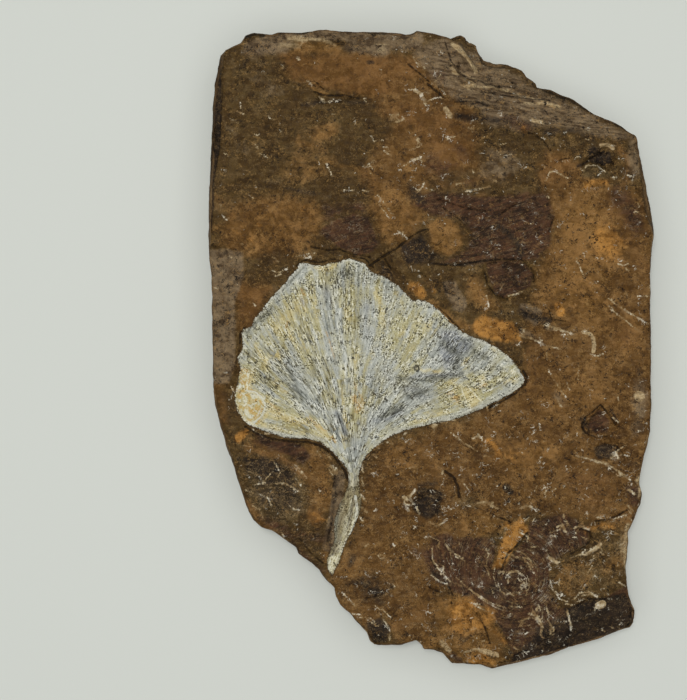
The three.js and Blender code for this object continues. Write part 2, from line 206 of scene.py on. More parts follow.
class Chart:
    """Numbers on an even grid over the plan, read between its places."""

    def __init__(self, x_low, x_high, y_low, y_high, step):
        self.x_low = x_low
        self.y_low = y_low
        self.step = step
        self.x, self.y = np.meshgrid(
            np.arange(x_low, x_high, step), np.arange(y_low, y_high, step), indexing="ij"
        )
        self.numbers = np.zeros(self.x.shape)

    def read(self, x, y):
        u = np.clip((x - self.x_low) / self.step, 0, self.x.shape[0] - 1.001)
        v = np.clip((y - self.y_low) / self.step, 0, self.x.shape[1] - 1.001)
        i = u.astype(int)
        j = v.astype(int)
        a = u - i
        b = v - j
        n = self.numbers
        near = n[i, j] * (1 - a) + n[i + 1, j] * a
        far = n[i, j + 1] * (1 - a) + n[i + 1, j + 1] * a
        return near * (1 - b) + far * b


# How far inside the leaf's outline a place is; below 0 outside it.
CHART_STEP = 0.25
OUTLINE_STEP = 0.45
LEAF_BOX = (-35, 18, -40.5, 17.5)  # round the leaf, in x and in y
DEEPEST = 3                        # outside it, where it is no longer measured
leaf_depth = Chart(*PLAN, CHART_STEP)
leaf_outline = evenly(np.concatenate([leaf_ring, leaf_ring[:1]]), OUTLINE_STEP)
leaf_outline = [tuple(p) for p in leaf_outline]
near_leaf = (
    (leaf_depth.x > LEAF_BOX[0]) & (leaf_depth.x < LEAF_BOX[1])
    & (leaf_depth.y > LEAF_BOX[2]) & (leaf_depth.y < LEAF_BOX[3])
)
near_x = leaf_depth.x[near_leaf]
near_y = leaf_depth.y[near_leaf]
away = line_distance(near_x, near_y, leaf_outline)
leaf_depth.numbers[:] = -DEEPEST
leaf_depth.numbers[near_leaf] = np.where(
    within(near_x, near_y, leaf_outline[:-1]), away, np.maximum(-away, -DEEPEST)
)

# The stone's split face follows the solid's, with its facets and steps worn and its grit added.
WARP = 0.5                         # how far the ledges wander
BED_FLOOR = 9.9
LIP = (0.5, 0.9)                   # the bed's wall, inside the leaf's outline, out of sight
ABOVE_ALL = 30
OFF_SLAB = 10                      # the height that is kept for places beside the slab
FILL_ROUNDS = 8                    # how many places the slab's heights are carried past its edge
SOFTEN_ROUNDS = 2
STEP_RISE = 0.05                   # of the thin layers on the face


def bedding(x, y):
    """The bedding plane that carries the leaf."""
    return 11 + 0.2 * np.sin(x / 8 + 0.6) * np.cos(y / 11) + 0.12 * np.sin(y / 4.6 + x / 9)


slab_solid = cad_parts["rock_slab"]
solid = bmesh.new()
solid.from_mesh(slab_solid.data)
bmesh.ops.scale(solid, vec=(1 / MILLIMETRE,) * 3, verts=solid.verts)
bmesh.ops.remove_doubles(solid, verts=solid.verts, dist=0.002)
solid_tree = BVHTree.FromBMesh(solid)

faces_up = Chart(*PLAN, CHART_STEP)
for index, (px, py) in enumerate(zip(faces_up.x.flat, faces_up.y.flat)):
    hit = solid_tree.ray_cast(Vector((px, py, ABOVE_ALL)), Vector((0, 0, -1)))[0]
    faces_up.numbers.flat[index] = hit.z if hit else np.nan
for _ in range(FILL_ROUNDS):
    known = np.nan_to_num(faces_up.numbers)
    have = np.isfinite(faces_up.numbers).astype(float)
    around = sum(np.roll(known, shift, axis) for axis in (0, 1) for shift in (-1, 1))
    count = sum(np.roll(have, shift, axis) for axis in (0, 1) for shift in (-1, 1))
    fill = (have == 0) & (count > 0)
    faces_up.numbers[fill] = around[fill] / count[fill]
faces_up.numbers = np.nan_to_num(faces_up.numbers, nan=OFF_SLAB)
over_bed = ease(-0.9, -0.45, leaf_depth.numbers)
faces_up.numbers = (
    faces_up.numbers * (1 - over_bed) + (bedding(faces_up.x, faces_up.y) - 0.08) * over_bed
)
softened = faces_up.numbers
for axis in (0, 1):
    for _ in range(SOFTEN_ROUNDS):
        beside = np.roll(softened, 1, axis) + np.roll(softened, -1, axis)
        softened = 0.25 * beside + 0.5 * softened
faces_up.numbers = softened


def split_face(x, y):
    """The height of the stone's split face, before the leaf's bed is taken out."""
    worn_x = x + WARP * bumps(x, y, 2.6, 21) + 0.3 * WARP * bumps(x, y, 0.9, 22)
    worn_y = y + WARP * bumps(x, y, 2.4, 23) + 0.3 * WARP * bumps(x, y, 0.8, 24)
    height = faces_up.read(worn_x, worn_y)
    calm = 1 - 0.75 * ease(-1.2, 0.3, leaf_depth.read(x, y))
    swells = rough(x, y, 9, 31, 3)
    layers = (swells + 0.35 * bumps(x, y, 2.2, 35)) * 6
    step = np.floor(layers) + ease(0.35, 0.65, layers - np.floor(layers))
    height = height + calm * (STEP_RISE * step - STEP_RISE * layers)
    height = height + calm * (0.12 * swells + 0.09 * rough(x, y, 2.6, 41, 4, 0.6))
    return height - 0.05


# Its widest outline is the solid's, cut level through the middle of the broken edge.
WIDEST_LEVEL = 5.06
SLAB_RING_STEP = 0.33
SLAB_STEP = 0.37                   # between places of the split face
LINE_STEP = 0.17                   # along its shreds and cracks
EDGE_SHARES = (0, *(round(0.04 + 0.05 * k, 2) for k in range(18)), 0.93, 0.965)
EDGE_ROUNDING = 0.22
OUTSIDE = 3                        # where a ray towards the broken edge starts
RAY_LENGTH = 9

# The outline starts at one fixed place, so that every run gives the same mesh.
cut = bmesh.ops.bisect_plane(
    solid, geom=solid.verts[:] + solid.edges[:] + solid.faces[:],
    plane_co=(0, 0, WIDEST_LEVEL), plane_no=(0, 0, 1),
)["geom_cut"]
cut_edges = {part for part in cut if isinstance(part, bmesh.types.BMEdge)}
start = min((v for edge in cut_edges for v in edge.verts), key=lambda v: (v.co.x, v.co.y))
chain = [start]
edge_used = None
while len(chain) < 2 or chain[-1] != start:
    edge_used = next(e for e in chain[-1].link_edges if e in cut_edges and e != edge_used)
    chain.append(edge_used.other_vert(chain[-1]))
slab_ring = np.array([(v.co.x, v.co.y) for v in chain])
turned = np.sum(slab_ring[:-1, 0] * slab_ring[1:, 1] - slab_ring[1:, 0] * slab_ring[:-1, 1])
slab_ring = evenly(slab_ring if turned > 0 else slab_ring[::-1], SLAB_RING_STEP)[:-1]
ring_in = inward(slab_ring, 3)
ring_x, ring_y = slab_ring.T


def edge_inset(level):
    """How far the solid's broken edge stands back from the widest outline at a height."""
    insets = []
    for (px, py), (nx, ny), z in zip(slab_ring, ring_in, level):
        outside = Vector((px - OUTSIDE * nx, py - OUTSIDE * ny, z))
        hit = solid_tree.ray_cast(outside, Vector((nx, ny, 0)), RAY_LENGTH)
        insets.append(hit[3] - OUTSIDE if hit[0] else np.nan)
    insets = np.array(insets)
    good = np.isfinite(insets)
    places = np.arange(len(insets))
    insets = np.interp(places, places[good], insets[good])
    return np.maximum(0.25 * np.roll(insets, 1) + 0.5 * insets + 0.25 * np.roll(insets, -1), 0)


# The broken edge: thin beds stand out and back, each with its own break.
BED_THICKNESS = 0.85
BED_SHIFT = 17                     # from the break of one bed to the next bed's
RIM_INSET = 1.2                    # where the rim's height is taken
LEAST_LEVEL = 0.06

rim_place = slab_ring + ring_in * RIM_INSET
rim_height = split_face(rim_place[:, 0], rim_place[:, 1])
edge_rings = []
for share in EDGE_SHARES:
    level = share * rim_height
    shift = level / BED_THICKNESS + 0.8 * rough(ring_x, ring_y, 14, 51, 2)
    bed = np.floor(shift)
    lap = ease(0, 0.3, shift - bed)
    ledge = (
        bumps(ring_x + BED_SHIFT * bed, ring_y, 3.2, 52) * (1 - lap)
        + bumps(ring_x + BED_SHIFT * (bed + 1), ring_y, 3.2, 52) * lap
    )
    broken_back = rough(ring_x + 3 * level, ring_y - 2 * level, 1.7, 53, 3, 0.6)
    back = np.maximum(0.16 + 0.16 * ledge + 0.13 * broken_back, 0) * (0.35 if share == 0 else 1)
    back = edge_inset(np.maximum(level, LEAST_LEVEL)) + back
    edge_rings.append((slab_ring + ring_in * back[:, None], level))
top_back = np.maximum(edge_inset(0.95 * rim_height), 0) + EDGE_ROUNDING
top_back = top_back + 0.1 + 0.1 * rough(ring_x, ring_y, 1.4, 54, 3, 0.6)
top_ring = slab_ring + ring_in * top_back[:, None]


def spread(ring, step, seed, clear, keep=None):
    """Places inside a ring, about a step apart and none of them on an even grid."""
    low = ring.min(0)
    high = ring.max(0)
    x, y = np.meshgrid(
        np.arange(low[0], high[0], step), np.arange(low[1], high[1], step * 0.866)
    )
    x = x + (np.arange(len(y)) % 2)[:, None] * step / 2
    random = np.random.default_rng(seed)
    moved = random.uniform(-0.28, 0.28, (x.size, 2)) * step
    places = np.stack([x.ravel(), y.ravel()], 1) + moved
    if keep is not None:
        places = places[keep(places[:, 0], places[:, 1])]
    places = places[within(places[:, 0], places[:, 1], [tuple(p) for p in ring.tolist()])]
    by_ring = KDTree(len(ring))
    for index, (px, py) in enumerate(ring):
        by_ring.insert((px, py, 0), index)
    by_ring.balance()
    return np.array([p for p in places if by_ring.find((p[0], p[1], 0))[2] > clear])


def net(ring, places):
    """Triangles over a ring and the places inside it; the ring's come first in the list."""
    count = len(ring)
    points = [Vector(p) for p in np.concatenate([ring, places]).tolist()]
    loop = [(i, (i + 1) % count) for i in range(count)]
    made = delaunay_2d_cdt(points, loop, [], 1, 1e-7, True)
    flat = np.array([tuple(v) for v in made[0]])
    order = [group[0] if group else -1 for group in made[3]]
    faces = np.array(made[2])
    # A triangle on three places of the ring may bridge a notch of it.
    rim = np.flatnonzero((np.array(order)[faces] < count).all(1))
    middle = flat[faces[rim]].mean(1)
    outside = ~within(middle[:, 0], middle[:, 1], [tuple(p) for p in ring.tolist()])
    return flat, np.delete(faces, rim[outside], 0).tolist(), order


def sheet_mesh(name, rings, top, bottom):
    """A closed body: a top net, rings of equal count from bottom to top, and a bottom net."""
    top_flat, top_faces, top_order, top_height = top
    bottom_flat, bottom_faces, bottom_order, bottom_height = bottom
    count = len(rings[0][0])
    places = [np.column_stack([ring, level]) for ring, level in rings]
    places.append(np.column_stack([top_flat, top_height]))
    places.append(np.column_stack([bottom_flat, bottom_height]))
    top_start = count * len(rings)
    bottom_start = top_start + len(top_flat)
    on_top = {given: top_start + i for i, given in enumerate(top_order)}
    on_bottom = {given: bottom_start + i for i, given in enumerate(bottom_order)}
    loops = [[on_bottom[i] for i in range(count)]]
    loops += [[count * k + i for i in range(count)] for k in range(len(rings))]
    loops.append([on_top[i] for i in range(count)])
    faces = [tuple(top_start + i for i in face) for face in top_faces]
    faces += [tuple(bottom_start + i for i in reversed(face)) for face in bottom_faces]
    for lower, upper in zip(loops[:-1], loops[1:]):
        for i in range(count):
            j = (i + 1) % count
            faces.append((lower[i], lower[j], upper[j], upper[i]))
    places = np.concatenate(places)
    mesh = bpy.data.meshes.new(name)
    mesh.from_pydata((places * MILLIMETRE).tolist(), [], faces)
    mesh.validate()
    mesh.shade_smooth()
    piece = bpy.data.objects.new(name, mesh)
    bpy.context.scene.collection.objects.link(piece)
    return piece, places


def keep_in_box(piece, places, low, high):
    """Moves a piece's places so that none of them is outside the solid's box."""
    places = np.clip(places, np.array(low) / MILLIMETRE, np.array(high) / MILLIMETRE)
    piece.data.vertices.foreach_set("co", (places * MILLIMETRE).astype(np.float32).ravel())
    piece.data.update()
    return places



# The stains on the split face. Each row is a half width, how soft the edge is, how strong
# it is, and then its places as x,y: a line, or a closed patch where the half width is 0.
STAINS = {
    "warm": [
        (0, 2.4, 1.0, 18,31, 24,31, 30,27, 36,26, 38,10, 38,-20, 35,-30, 28,-29, 16,-27, 9,-30,
         4,-33, 2,-42, 0,-50, -5,-50, -8,-44, -11,-51, -17,-44, -17,-37, -12,-30, -11,-21, -8,-16,
         4,-12.6, 14,-8, 16,-3, 16,4, 17,12, 20,20),
        (0, 2, 0.8, -36,18, -33,24, -25,26, -18,24, -18,18, -24,15, -34,15),
        (0, 2, 0.8, -26,50, -2,49, 8,40, 9,30, 0,28, -3,16, -9,18, -12,30, -6,38, -12,42, -24,45),
        (0, 1.5, 0.9, -33,12, -27,11, -29,4, -32,3),
        (0, 1.5, 0.9, -21,-15.5, -17,-18, -16.5,-26, -19,-30, -21,-24),
    ],
    "ochre": [
        (0, 2.6, 0.72, 20.5,23, 23,27, 28,27.5, 30.5,23, 32,17, 31.5,10, 29,4.5, 24,4, 19,6, 17,9,
         19,12, 20.5,17),
        (0, 2, 0.6, -33.5,20, -30,23.5, -24.5,25.6, -19,24.2, -18,20, -20,16.5, -26,15.3, -31,15.3),
        (0, 0.7, 0.95, -0.5,20.6, 2,21.8, 4.3,20.6, 5.5,18.6, 4.6,16.3, 2.6,15.6, 0,16.3),
        (0.35, 0.6, 0.8, 5,18.8, 6.8,19.4),
        (0, 1.3, 0.72, -9.6,27.5, -5.5,27, -3,23, -3.2,19, -6.5,17.6, -9.5,20),
        (0, 2.2, 0.35, -7,33, -3.5,36, -0.5,33, -2,27, -6,27),
        (0.9, 0.7, 0.8, -12.6,49.3, -11,48.6), (1.6, 0.9, 0.62, -18.6,35.8, -17,36.4),
        (2.2, 1.8, 0.45, -23,30, -15,29.4),
        (0, 3, 0.5, 16,-9, 22,-3, 31,-2, 31,-10, 24,-13, 16,-13),
        (0, 2, 0.72, 10,-15, 14,-15.5, 20,-14.5, 23,-18, 18,-21.5, 13,-22, 10.5,-19),
        (0, 0.6, 0.8, 5,-27.3, 8,-27, 11.3,-28.2, 11.6,-30.2, 8.5,-31.2, 5,-30.2),
        (0, 1.0, 0.55, 21.5,-35.4, 25.5,-34.6, 27.2,-36.5, 25.8,-41.4, 23.4,-42, 21,-40.4,
         20.3,-38),
        (0, 1.4, 0.9, 0.5,-41, 7,-40.5, 9.5,-44, 12,-47, 11.8,-50, 13,-52, 9.5,-53.6, 5,-53,
         2.5,-51.5, 1.5,-49, 0.4,-46), (0, 1.6, 0.55, -8,-16.5, -2,-15.5, 2,-16.5, 1,-20, -6,-20.5),
        (0, 1, 0.65, -15,-34.5, -11.5,-35.5, -11,-38.5, -14.5,-38.8),
        (0, 1, 0.8, -2,-48.5, 3,-46, 3,-50, -1.5,-50.4),
        (0, 1, 0.7, 5.5,12.5, 8,12, 9.3,9.4, 12,7, 9,5.5, 6.5,8),
        (0.8, 0.8, 0.6, 0,7.5, 3.5,4.6, 8,2.8), (0.4, 0.5, 0.6, -20.5,43.6, -17.5,42.4),
        (0.6, 0.5, 0.7, 2.6,39.6, 3.8,38.6), (0.7, 0.8, 0.5, -5,19.5, -0.5,23),
        (1.5, 1.6, 0.45, -21,-16.5, -17.5,-20, -17.5,-25), (1.6, 1.6, 0.5, 26,5, 33,0, 34,5),
        (1.2, 1.2, 0.6, -36.5,20, -33,21), (1.2, 1.2, 0.6, 10,2.6, 14,2),
        (0.9, 1, 0.6, -18,31, -12,30), (1.1, 0.8, 0.85, -21.6,50.2, -16,50),
        (1.4, 1.4, 0.5, -21.5,34.5, -19,33.6), (1.4, 1.2, 0.62, 29,-36.6, 31.4,-35),
    ],
    "amber": [
        (1.75, 0.55, 1.0, 8.8,3.7, 12.6,2.8),
        (0, 1.6, 0.88, 27.5,20.5, 30.5,20, 31.8,17, 30,15.3, 27.5,16),
        (0.18, 0.35, 0.9, 30.6,18.6, 31.7,18, 31.7,16.7, 30.6,16, 29.6,16.5),
        (0.45, 0.5, 0.8, 25.6,27.1, 27.3,27.8, 29.2,27.6),
        (0.42, 0.4, 1.0, 9.4,-15.4, 10.6,-16.1, 11.3,-17.2, 10.9,-17.9),
        (0.9, 1.3, 0.55, 11.2,-17.4, 13.5,-18.2),
        (0, 0.5, 0.9, 15,-28.2, 16.3,-30.3, 14.6,-32.2, 13.2,-34.2, 12,-36.6, 10,-36.8, 11.2,-33.8,
         12.6,-30.4), (0.5, 0.5, 0.7, 12.6,-29.4, 14.6,-29.6),
        (0.6, 0.6, 0.7, 25.6,-30.2, 28,-29.4, 30,-29.6),
        (0, 1, 0.85, 4,-41.8, 7,-41.8, 7.8,-44.5, 7,-47, 4.8,-47.6, 3,-46, 2.8,-43.4),
        (0.7, 0.8, 0.7, 10,-46.5, 12.3,-48.8),
        (0, 0.7, 0.75, 5.5,-50.7, 9.5,-50.6, 11.5,-52.8, 6,-52.8),
        (0.75, 0.5, 0.9, -2.3,10.2, -1.7,9.2), (0.5, 0.6, 0.55, -0.6,11.5, 0.5,9.6),
        (0.35, 0.3, 1.0, -28.8,20.7, -28.4,20.5), (0.25, 0.3, 0.9, -21.4,23, -20.9,23.8),
        (0.35, 0.7, 0.65, -32.6,19.6, -31,18.6, -30,18.4), (0.3, 0.35, 0.8, -19.2,-28.7, -18,-28.5),
        (0.35, 0.35, 0.7, 15.3,36.8, 15.7,36), (0.7, 0.3, 1.0, 21.2,7.1, 21.6,6.2),
        (0.7, 0.6, 0.9, -3.2,10.4, -2.2,9.6), (1.4, 1, 0.7, 9.6,-44.4, 8,-46),
        (0, 0.35, 0.8, -32.9,-15.2, -32.6,-14.2, -31.8,-13.5, -30.6,-13.2, -30.2,-13.6, -31,-14.8,
         -32,-15.7), (1.2, 0.9, 0.6, 12,2.4, 14,1.8), (0.25, 0.45, 0.85, -19.6,-27.4, -18.2,-28.4),
    ],
    "rust": [
        (0, 1.3, 0.9, -25,49, -12,49.6, -3,48.4, -2,46.5, -5,43, -9,41.8, -14,42.5, -18,43.2,
         -20.5,44.6, -24,45.5),
        (0, 1.8, 0.75, -10,39.5, -4,41.5, 2.5,40, 6,38, 7.6,34, 7,30.5, 2,29.5, 0,32, -3,36),
        (0, 1.2, 0.5, -12,30, -8,29, -9,26, -12,26.5),
        (0, 0.8, 0.8, -36.8,10.5, -34.4,10.2, -34.2,7.5, -36.4,6.4),
        (0, 1.2, 0.75, -32.8,11, -26.5,10.2, -29,5, -32,4),
        (0, 1.4, 0.75, 19,33, 23,33, 24,30, 22,27.5, 18.5,27.5, 18,30),
        (0.9, 1, 0.6, 30.5,34, 33,31.5, 32.5,28), (0, 1.6, 0.6, 29.5,5.5, 34,4, 34,0, 30,0.5),
        (1.2, 1.3, 0.65, 15.8,-1, 17,-4, 16,-7),
        (0, 0.6, 0.95, 26,-10.8, 28.6,-9.9, 30,-12, 28,-13.2, 26.3,-12.6),
        (0, 0.6, 0.95, -20.4,-26.6, -18.4,-27, -17.8,-28.6, -19.8,-29.4, -21,-28),
        (0.6, 0.6, 0.7, -17.5,-32, -17.6,-35),
        (0, 0.5, 0.8, -30.5,-14.6, -26.5,-15.6, -23.6,-15.2, -23.8,-17.8, -26.4,-17.2, -29.6,-16.2),
        (0, 2, 0.5, 22,-19, 31,-20, 32,-27, 24,-27),
        (0, 0.9, 0.6, -36.8,-5, -34,-5.5, -33.4,-13, -35.4,-12.5),
        (0.9, 1, 0.5, 1,27, 8,28.2, 13,29), (0.7, 0.8, 0.6, 8,25.4, 13,24.4, 17,25.4),
        (0.9, 0.8, 0.6, 33,-33, 33.2,-26), (0.7, 0.6, 0.8, -11.8,-47.5, -9.8,-49.8, -5,-49.6),
        (0.5, 0.5, 0.7, -16,-41.5, -15,-43.6, -12.4,-44.2), (1.2, 1.6, 0.45, -35.5,25, -32,21),
        (1.6, 2, 0.5, 30,25, 35.5,14), (1.6, 1.6, 0.5, -6,-46, 0,-43),
        (0.6, 0.8, 0.5, 10,0.5, 15,1), (0.5, 0.7, 0.6, -31.6,-30, -24,-30.5),
        (0.8, 0.9, 0.75, -31,-25.6, -27,-30.4, -22,-34),
        (0.7, 0.7, 0.7, -30.6,-16.4, -25,-18, -21,-21),
    ],
    "maroon": [
        (0, 0.7, 1.0, -18.8,19.4, -16,21.5, -13,22.6, -10.5,22, -9.4,19.6, -8.6,17.4, -9.6,16.2,
         -12,15.6, -14.8,16.6, -17,18),
        (0, 1.3, 0.6, -19,24.4, -12,25.4, -9.5,24, -11,22.4, -18,21),
        (0, 1, 0.92, 0.5,26.4, 8,25.4, 14,25.8, 19.4,26, 20.4,22, 20,18, 18,14.8, 7,14.3, 1,14.2,
         6,16.4, 6.6,19.4, 4.4,22, 0,22.4, -3,24),
        (0, 0.35, 1.0, 9.2,14.4, 13,14.8, 15.6,14.4, 17,12.4, 16.6,10.4, 14.4,9.4, 12,8.6, 10.6,9.4,
         9.6,12.2), (0, 1.6, 0.62, 28.4,26, 31,28, 35.6,24, 36.6,19, 33.6,18, 31,22, 29.4,24),
        (0, 0.8, 0.97, -1.5,-34, 0,-32.8, 4.6,-31.4, 9.8,-31.6, 10.8,-33, 10.3,-36, 12.4,-36.3,
         13.4,-34.5, 15.8,-31.4, 16.6,-28.6, 22,-27.4, 26.6,-29.6, 26,-32.4, 22,-34, 19.8,-35.6,
         19.6,-40, 21.5,-43, 25,-43, 20,-46.5, 16.4,-49.4, 13.4,-50.6, 11.2,-46, 8.6,-42.6,
         4.4,-40.6, 0,-38.4),
        (0, 0.5, 1.0, 13.6,-50.6, 16.5,-49.4, 20,-47.2, 23.5,-44, 27.6,-42, 32,-39.6, 33,-38.5,
         34.5,-43, 34.6,-47, 13,-52.6),
        (0, 0.8, 0.6, -30.4,-14.4, -23.4,-15, -23.2,-17.6, -25.6,-17.4, -29.6,-16.2),
        (0, 0.8, 0.75, -23.4,-31, -20,-34.4, -17.6,-36.6, -18,-39, -21,-36, -24.6,-32.6),
        (0, 0.7, 0.8, 32,-22.6, 35.4,-22.8, 34.6,-26.6, 33,-26),
        (0, 2, 0.4, 22,-20, 31,-21.5, 29,-25, 23,-24), (1.2, 1, 0.6, -22,-31, -18,-31.6),
        (1.4, 1.6, 0.45, 2.5,31, 7.5,27),
        (0, 0.8, 0.85, 0,-31, 3,-30.6, 6,-33, 7.4,-37, 6,-41, 3,-39.6, 0.8,-37, -0.4,-34),
        (1.4, 1.4, 0.7, 12,38.4, 16,37),
        (0, 0.6, 0.95, -29.6,-13.8, -26,-15.2, -21.6,-15.6, -20,-18, -21.4,-19.2, -24.4,-17.4,
         -28.4,-16), (2, 1.6, 0.55, 0,31, 2,29.6), (1.6, 1.4, 0.5, 4.6,33.6, 6,32),
        (1.2, 1.2, 0.5, 0,46, 2,45.6), (1.4, 1.2, 0.5, 1.6,-33.6, -2.6,-34),
        (0, 0.5, 0.9, 26.4,-11.2, 28.2,-9.8, 29.8,-11.8, 29.6,-13.6, 27.6,-14.4, 26,-13.2),
        (0.9, 0.8, 0.75, 3.6,-51, 4.8,-52.2), (1.4, 1.2, 0.62, -27.6,-28.4, -22.6,-31.4),
    ],
    "umber_and_shade": [
        # The first row is painted shade along the slab's left edge.
        (0, 0.5, 1.0, -35.4,48.6, -34.9,44, -35.1,34, -36,29, -36.5,20, -37.3,17, -38,28, -37.6,36,
         -36.5,48), (0, 0.4, 0.95, 26,32.3, 28,33.4, 30,32.8, 30.4,31, 28.4,30.6, 26.6,31),
        (0.3, 0.5, 0.8, 24.4,30.4, 26,31.2),
        (0, 0.9, 0.92, -3.6,-25.4, -2,-23.6, 0,-23.8, 2,-24.8, 1.6,-27.6, -0.6,-28.6, -3,-27.4),
        (0, 0.7, 0.75, 26.6,-16.6, 28.4,-15.6, 31,-15.8, 32.2,-17, 30,-18.6, 27.6,-18.4),
        (0.3, 0.5, 0.7, 25,-11.4, 25.4,-14, 28.4,-14.8),
        (0, 0.9, 0.7, -31.6,-17.6, -26,-18, -22.4,-20.6, -23.4,-22.4, -28,-21.6, -31,-20.8),
        (0.3, 0.4, 0.85, -10.6,47.8, -9.6,47.7),
        (0, 0.45, 0.6, -10,14.3, -8,15, -6.8,14, -5.6,11.6, -6.2,10.4, -8.4,12.2),
        (0, 0.8, 0.7, -5.4,17.4, -1.4,19.6, 0,17, 2.6,15.2, 0,14, -4.4,14),
        (0.9, 1, 0.6, 19,36, 24,36.6, 27,35),
        (0, 0.6, 0.9, 13.6,-50.8, 17,-49.4, 20.4,-47.2, 23.8,-44, 28,-42.4, 33,-42, 34.8,-46.8,
         13,-52.8), (0, 0.6, 1.0, 22,-43.2, 26,-41.8, 32.4,-40.6, 34.4,-44, 33.6,-46.6, 24,-48),
        (0.5, 0.9, 0.62, -27,27.6, -22,26.2, -14,25.2, -10,25),
        (0.7, 0.9, 0.7, -21.6,40.6, -16,41.2, -11,41),
        (0.25, 0.4, 0.8, 0,14.3, 5,14, 9,14.8, 15,15.1), (0.5, 0.7, 0.6, 3.6,41.8, 6,41, 12,40.4),
        (0.4, 0.5, 0.5, -2,43.4, 2,41), (0.6, 0.7, 0.6, 4,-47, 5.5,-48.4, 6.8,-47.8),
        (0.35, 0.4, 0.8, 35.2,33, 36.9,24, 37.3,20), (0.6, 0.5, 0.9, 12.4,-23, 13.2,-23.8),
        (0.7, 0.9, 0.7, -2,-22.8, 0.6,-22.4), (0.2, 0.4, 0.9, 29.6,-9.6, 31,-12),
        (0.35, 0.5, 0.8, 25.6,-11.4, 25.4,-14), (0.9, 0.6, 0.9, 27,33, 29,31.6),
        (0.35, 0.6, 0.6, 2,-20.6, 3.4,-21.8, 4.4,-24.4),
        (0, 0.8, 0.85, 14,-50.4, 17,-47.6, 20,-45.4, 24,-45, 33,-44.6, 34,-46.6, 24,-49.8,
         14.4,-52.2), (1.2, 1.2, 0.6, -3.4,26.6, -2.2,25), (1.2, 1, 0.5, 16,5.6, 20,3.4),
        (1.4, 0.9, 0.9, 18.6,-47.4, 22,-46),
        (0, 1.8, 0.62, -15,-37.6, -9,-36.8, -6.4,-40, -7.4,-43.6, -11,-43, -14,-41),
        (0, 0.6, 0.85, -10.8,-45.6, -8.4,-44.6, -6.8,-46.2, -7.2,-49, -9.8,-49),
        (0.9, 0.7, 0.95, -1.6,-23.8, 1.4,-24.4), (0.9, 0.9, 0.7, 4,39, 8,38.2, 13,38),
        (0, 1.6, 0.56, -30.6,-19, -23,-19.6, -21,-25, -24,-28.6, -29,-26.6),
        (1.2, 1.2, 0.6, 9.6,-40.6, 11.6,-39.4), (0.8, 0.7, 0.8, 15,6.2, 17,5.2, 19.6,4.8),
        (0, 0.5, 0.9, 22,-44.6, 27,-42.8, 33.4,-41.4, 34.2,-45, 23,-47.6),
        (0.6, 0.6, 0.8, 25.8,-12.4, 26.6,-13.8), (0.6, 0.6, 0.75, 11,20.6, 14,18.4, 15,15.6),
        (0.5, 0.5, 0.85, 2.2,9.9, 3.6,9.2), (0.9, 1, 0.6, -0.4,-37, 2.6,-39),
        # The second row below is painted shade beside the leaf's stalk.
        (0.7, 0.7, 0.6, -13,-34.4, -13.6,-36), (0.55, 0.5, 0.6, -15.8,-22, -16.2,-26, -17,-32),
        (1.4, 1.4, 0.52, 11.6,-38.6, 14.6,-37.4),
    ],
    "slate_and_shade": [
        (0, 0.6, 0.95, -37.6,16.4, -34.6,16.8, -31.4,16.2, -31.2,12, -32.6,8, -32.6,2, -32.6,-3,
         -33.8,-5.8, -37.6,-5.6),
        (0, 1.1, 0.82, -3,49.4, 2,52.4, 8,50, 12,48, 18,44, 27,39.4, 34.4,35.2, 31,34.6, 26,36,
         20,37, 14,36.4, 9,37, 8,40, 3.4,41.6, 0,45),
        (0, 0.6, 0.8, -31.5,51, -26,53, -12,54, -1,53, -1.6,49.6, -12,50.2, -14.4,51.2, -22.6,51.4,
         -24,50, -28,50.4), (1.2, 0.6, 0.85, 3,10.4, 4.7,7.4), (0.9, 0.8, 0.75, 16,5.6, 17.4,4.6),
        (0, 1.4, 0.72, 34.4,-3, 36.4,-6, 36,-14, 33,-15, 33.4,-6),
        (0, 1.6, 0.62, 8,34, 14,34, 16,30, 12,27, 8,28.6), (1.6, 2, 0.42, -35,40, -33,36, -31,33),
        (2.4, 2, 0.35, -30,49, -28,46), (1.2, 1.2, 0.5, 28,-17, 34.6,-19.6),
        (0.9, 0.8, 0.5, 20.6,-7.6, 22,-9), (1.6, 1.6, 0.5, -29,-23.4, -22,-26.6),
        # The next row is painted grey shade beside the leaf's stalk.
        (0.9, 0.5, 1.0, -15.2,-21, -15.6,-25, -16.4,-29, -17.2,-32.8),
        (0.5, 0.6, 0.5, 36.4,5, 36.4,0), (1.1, 0.9, 0.9, -13.6,50.4, -8,49.8),
        (1.2, 1.2, 0.8, 34,35.4, 34,29.6), (0.8, 0.8, 0.6, 15,3, 18,1.4),
        (0.8, 0.6, 0.9, 15.6,7, 17.8,5.8), (0.9, 0.8, 0.8, 23,37, 29,35.8),
        (1.4, 0.8, 0.8, -30,50.2, -24.6,50.6), (1.4, 0.8, 0.8, -13,50.4, -9,50),
        (2.2, 2, 0.45, -29.4,45, -26,43.4),
    ],
    "olive": [
        (0, 0.6, 0.85, 25,30.4, 27,31, 29.6,29.8, 30,28.8, 27.6,28.2, 25,28.6),
        (0, 1.4, 0.5, 8,42, 14,40.4, 14,36, 9,35), (0.35, 0.4, 0.8, 29,34.4, 30.8,33.8, 30.9,33),
        (0, 3, 0.4, -34,50, -24,49, -24,41, -31,38, -35,42),
        (0, 1.2, 0.6, -20.4,38.4, -15,38.6, -14.8,35, -19.6,34.6),
        (0, 1.6, 0.75, -31.4,-18.6, -22.6,-20, -20,-24, -22,-30, -28.6,-28.4, -31,-24),
        (0, 0.8, 0.6, 1,12.6, 5,11, 5.4,6.4, 3,6), (1.2, 1.6, 0.5, 16,8, 19,5, 23,3.4),
        (1, 1.2, 0.5, -4.6,18.4, 0,19, 2,15.6), (0.5, 0.6, 0.5, 25.4,-41, 29,-41.4),
        (1.4, 1.4, 0.4, 22,33, 26,36), (1.4, 1.4, 0.4, -12,-40.4, -5,-40),
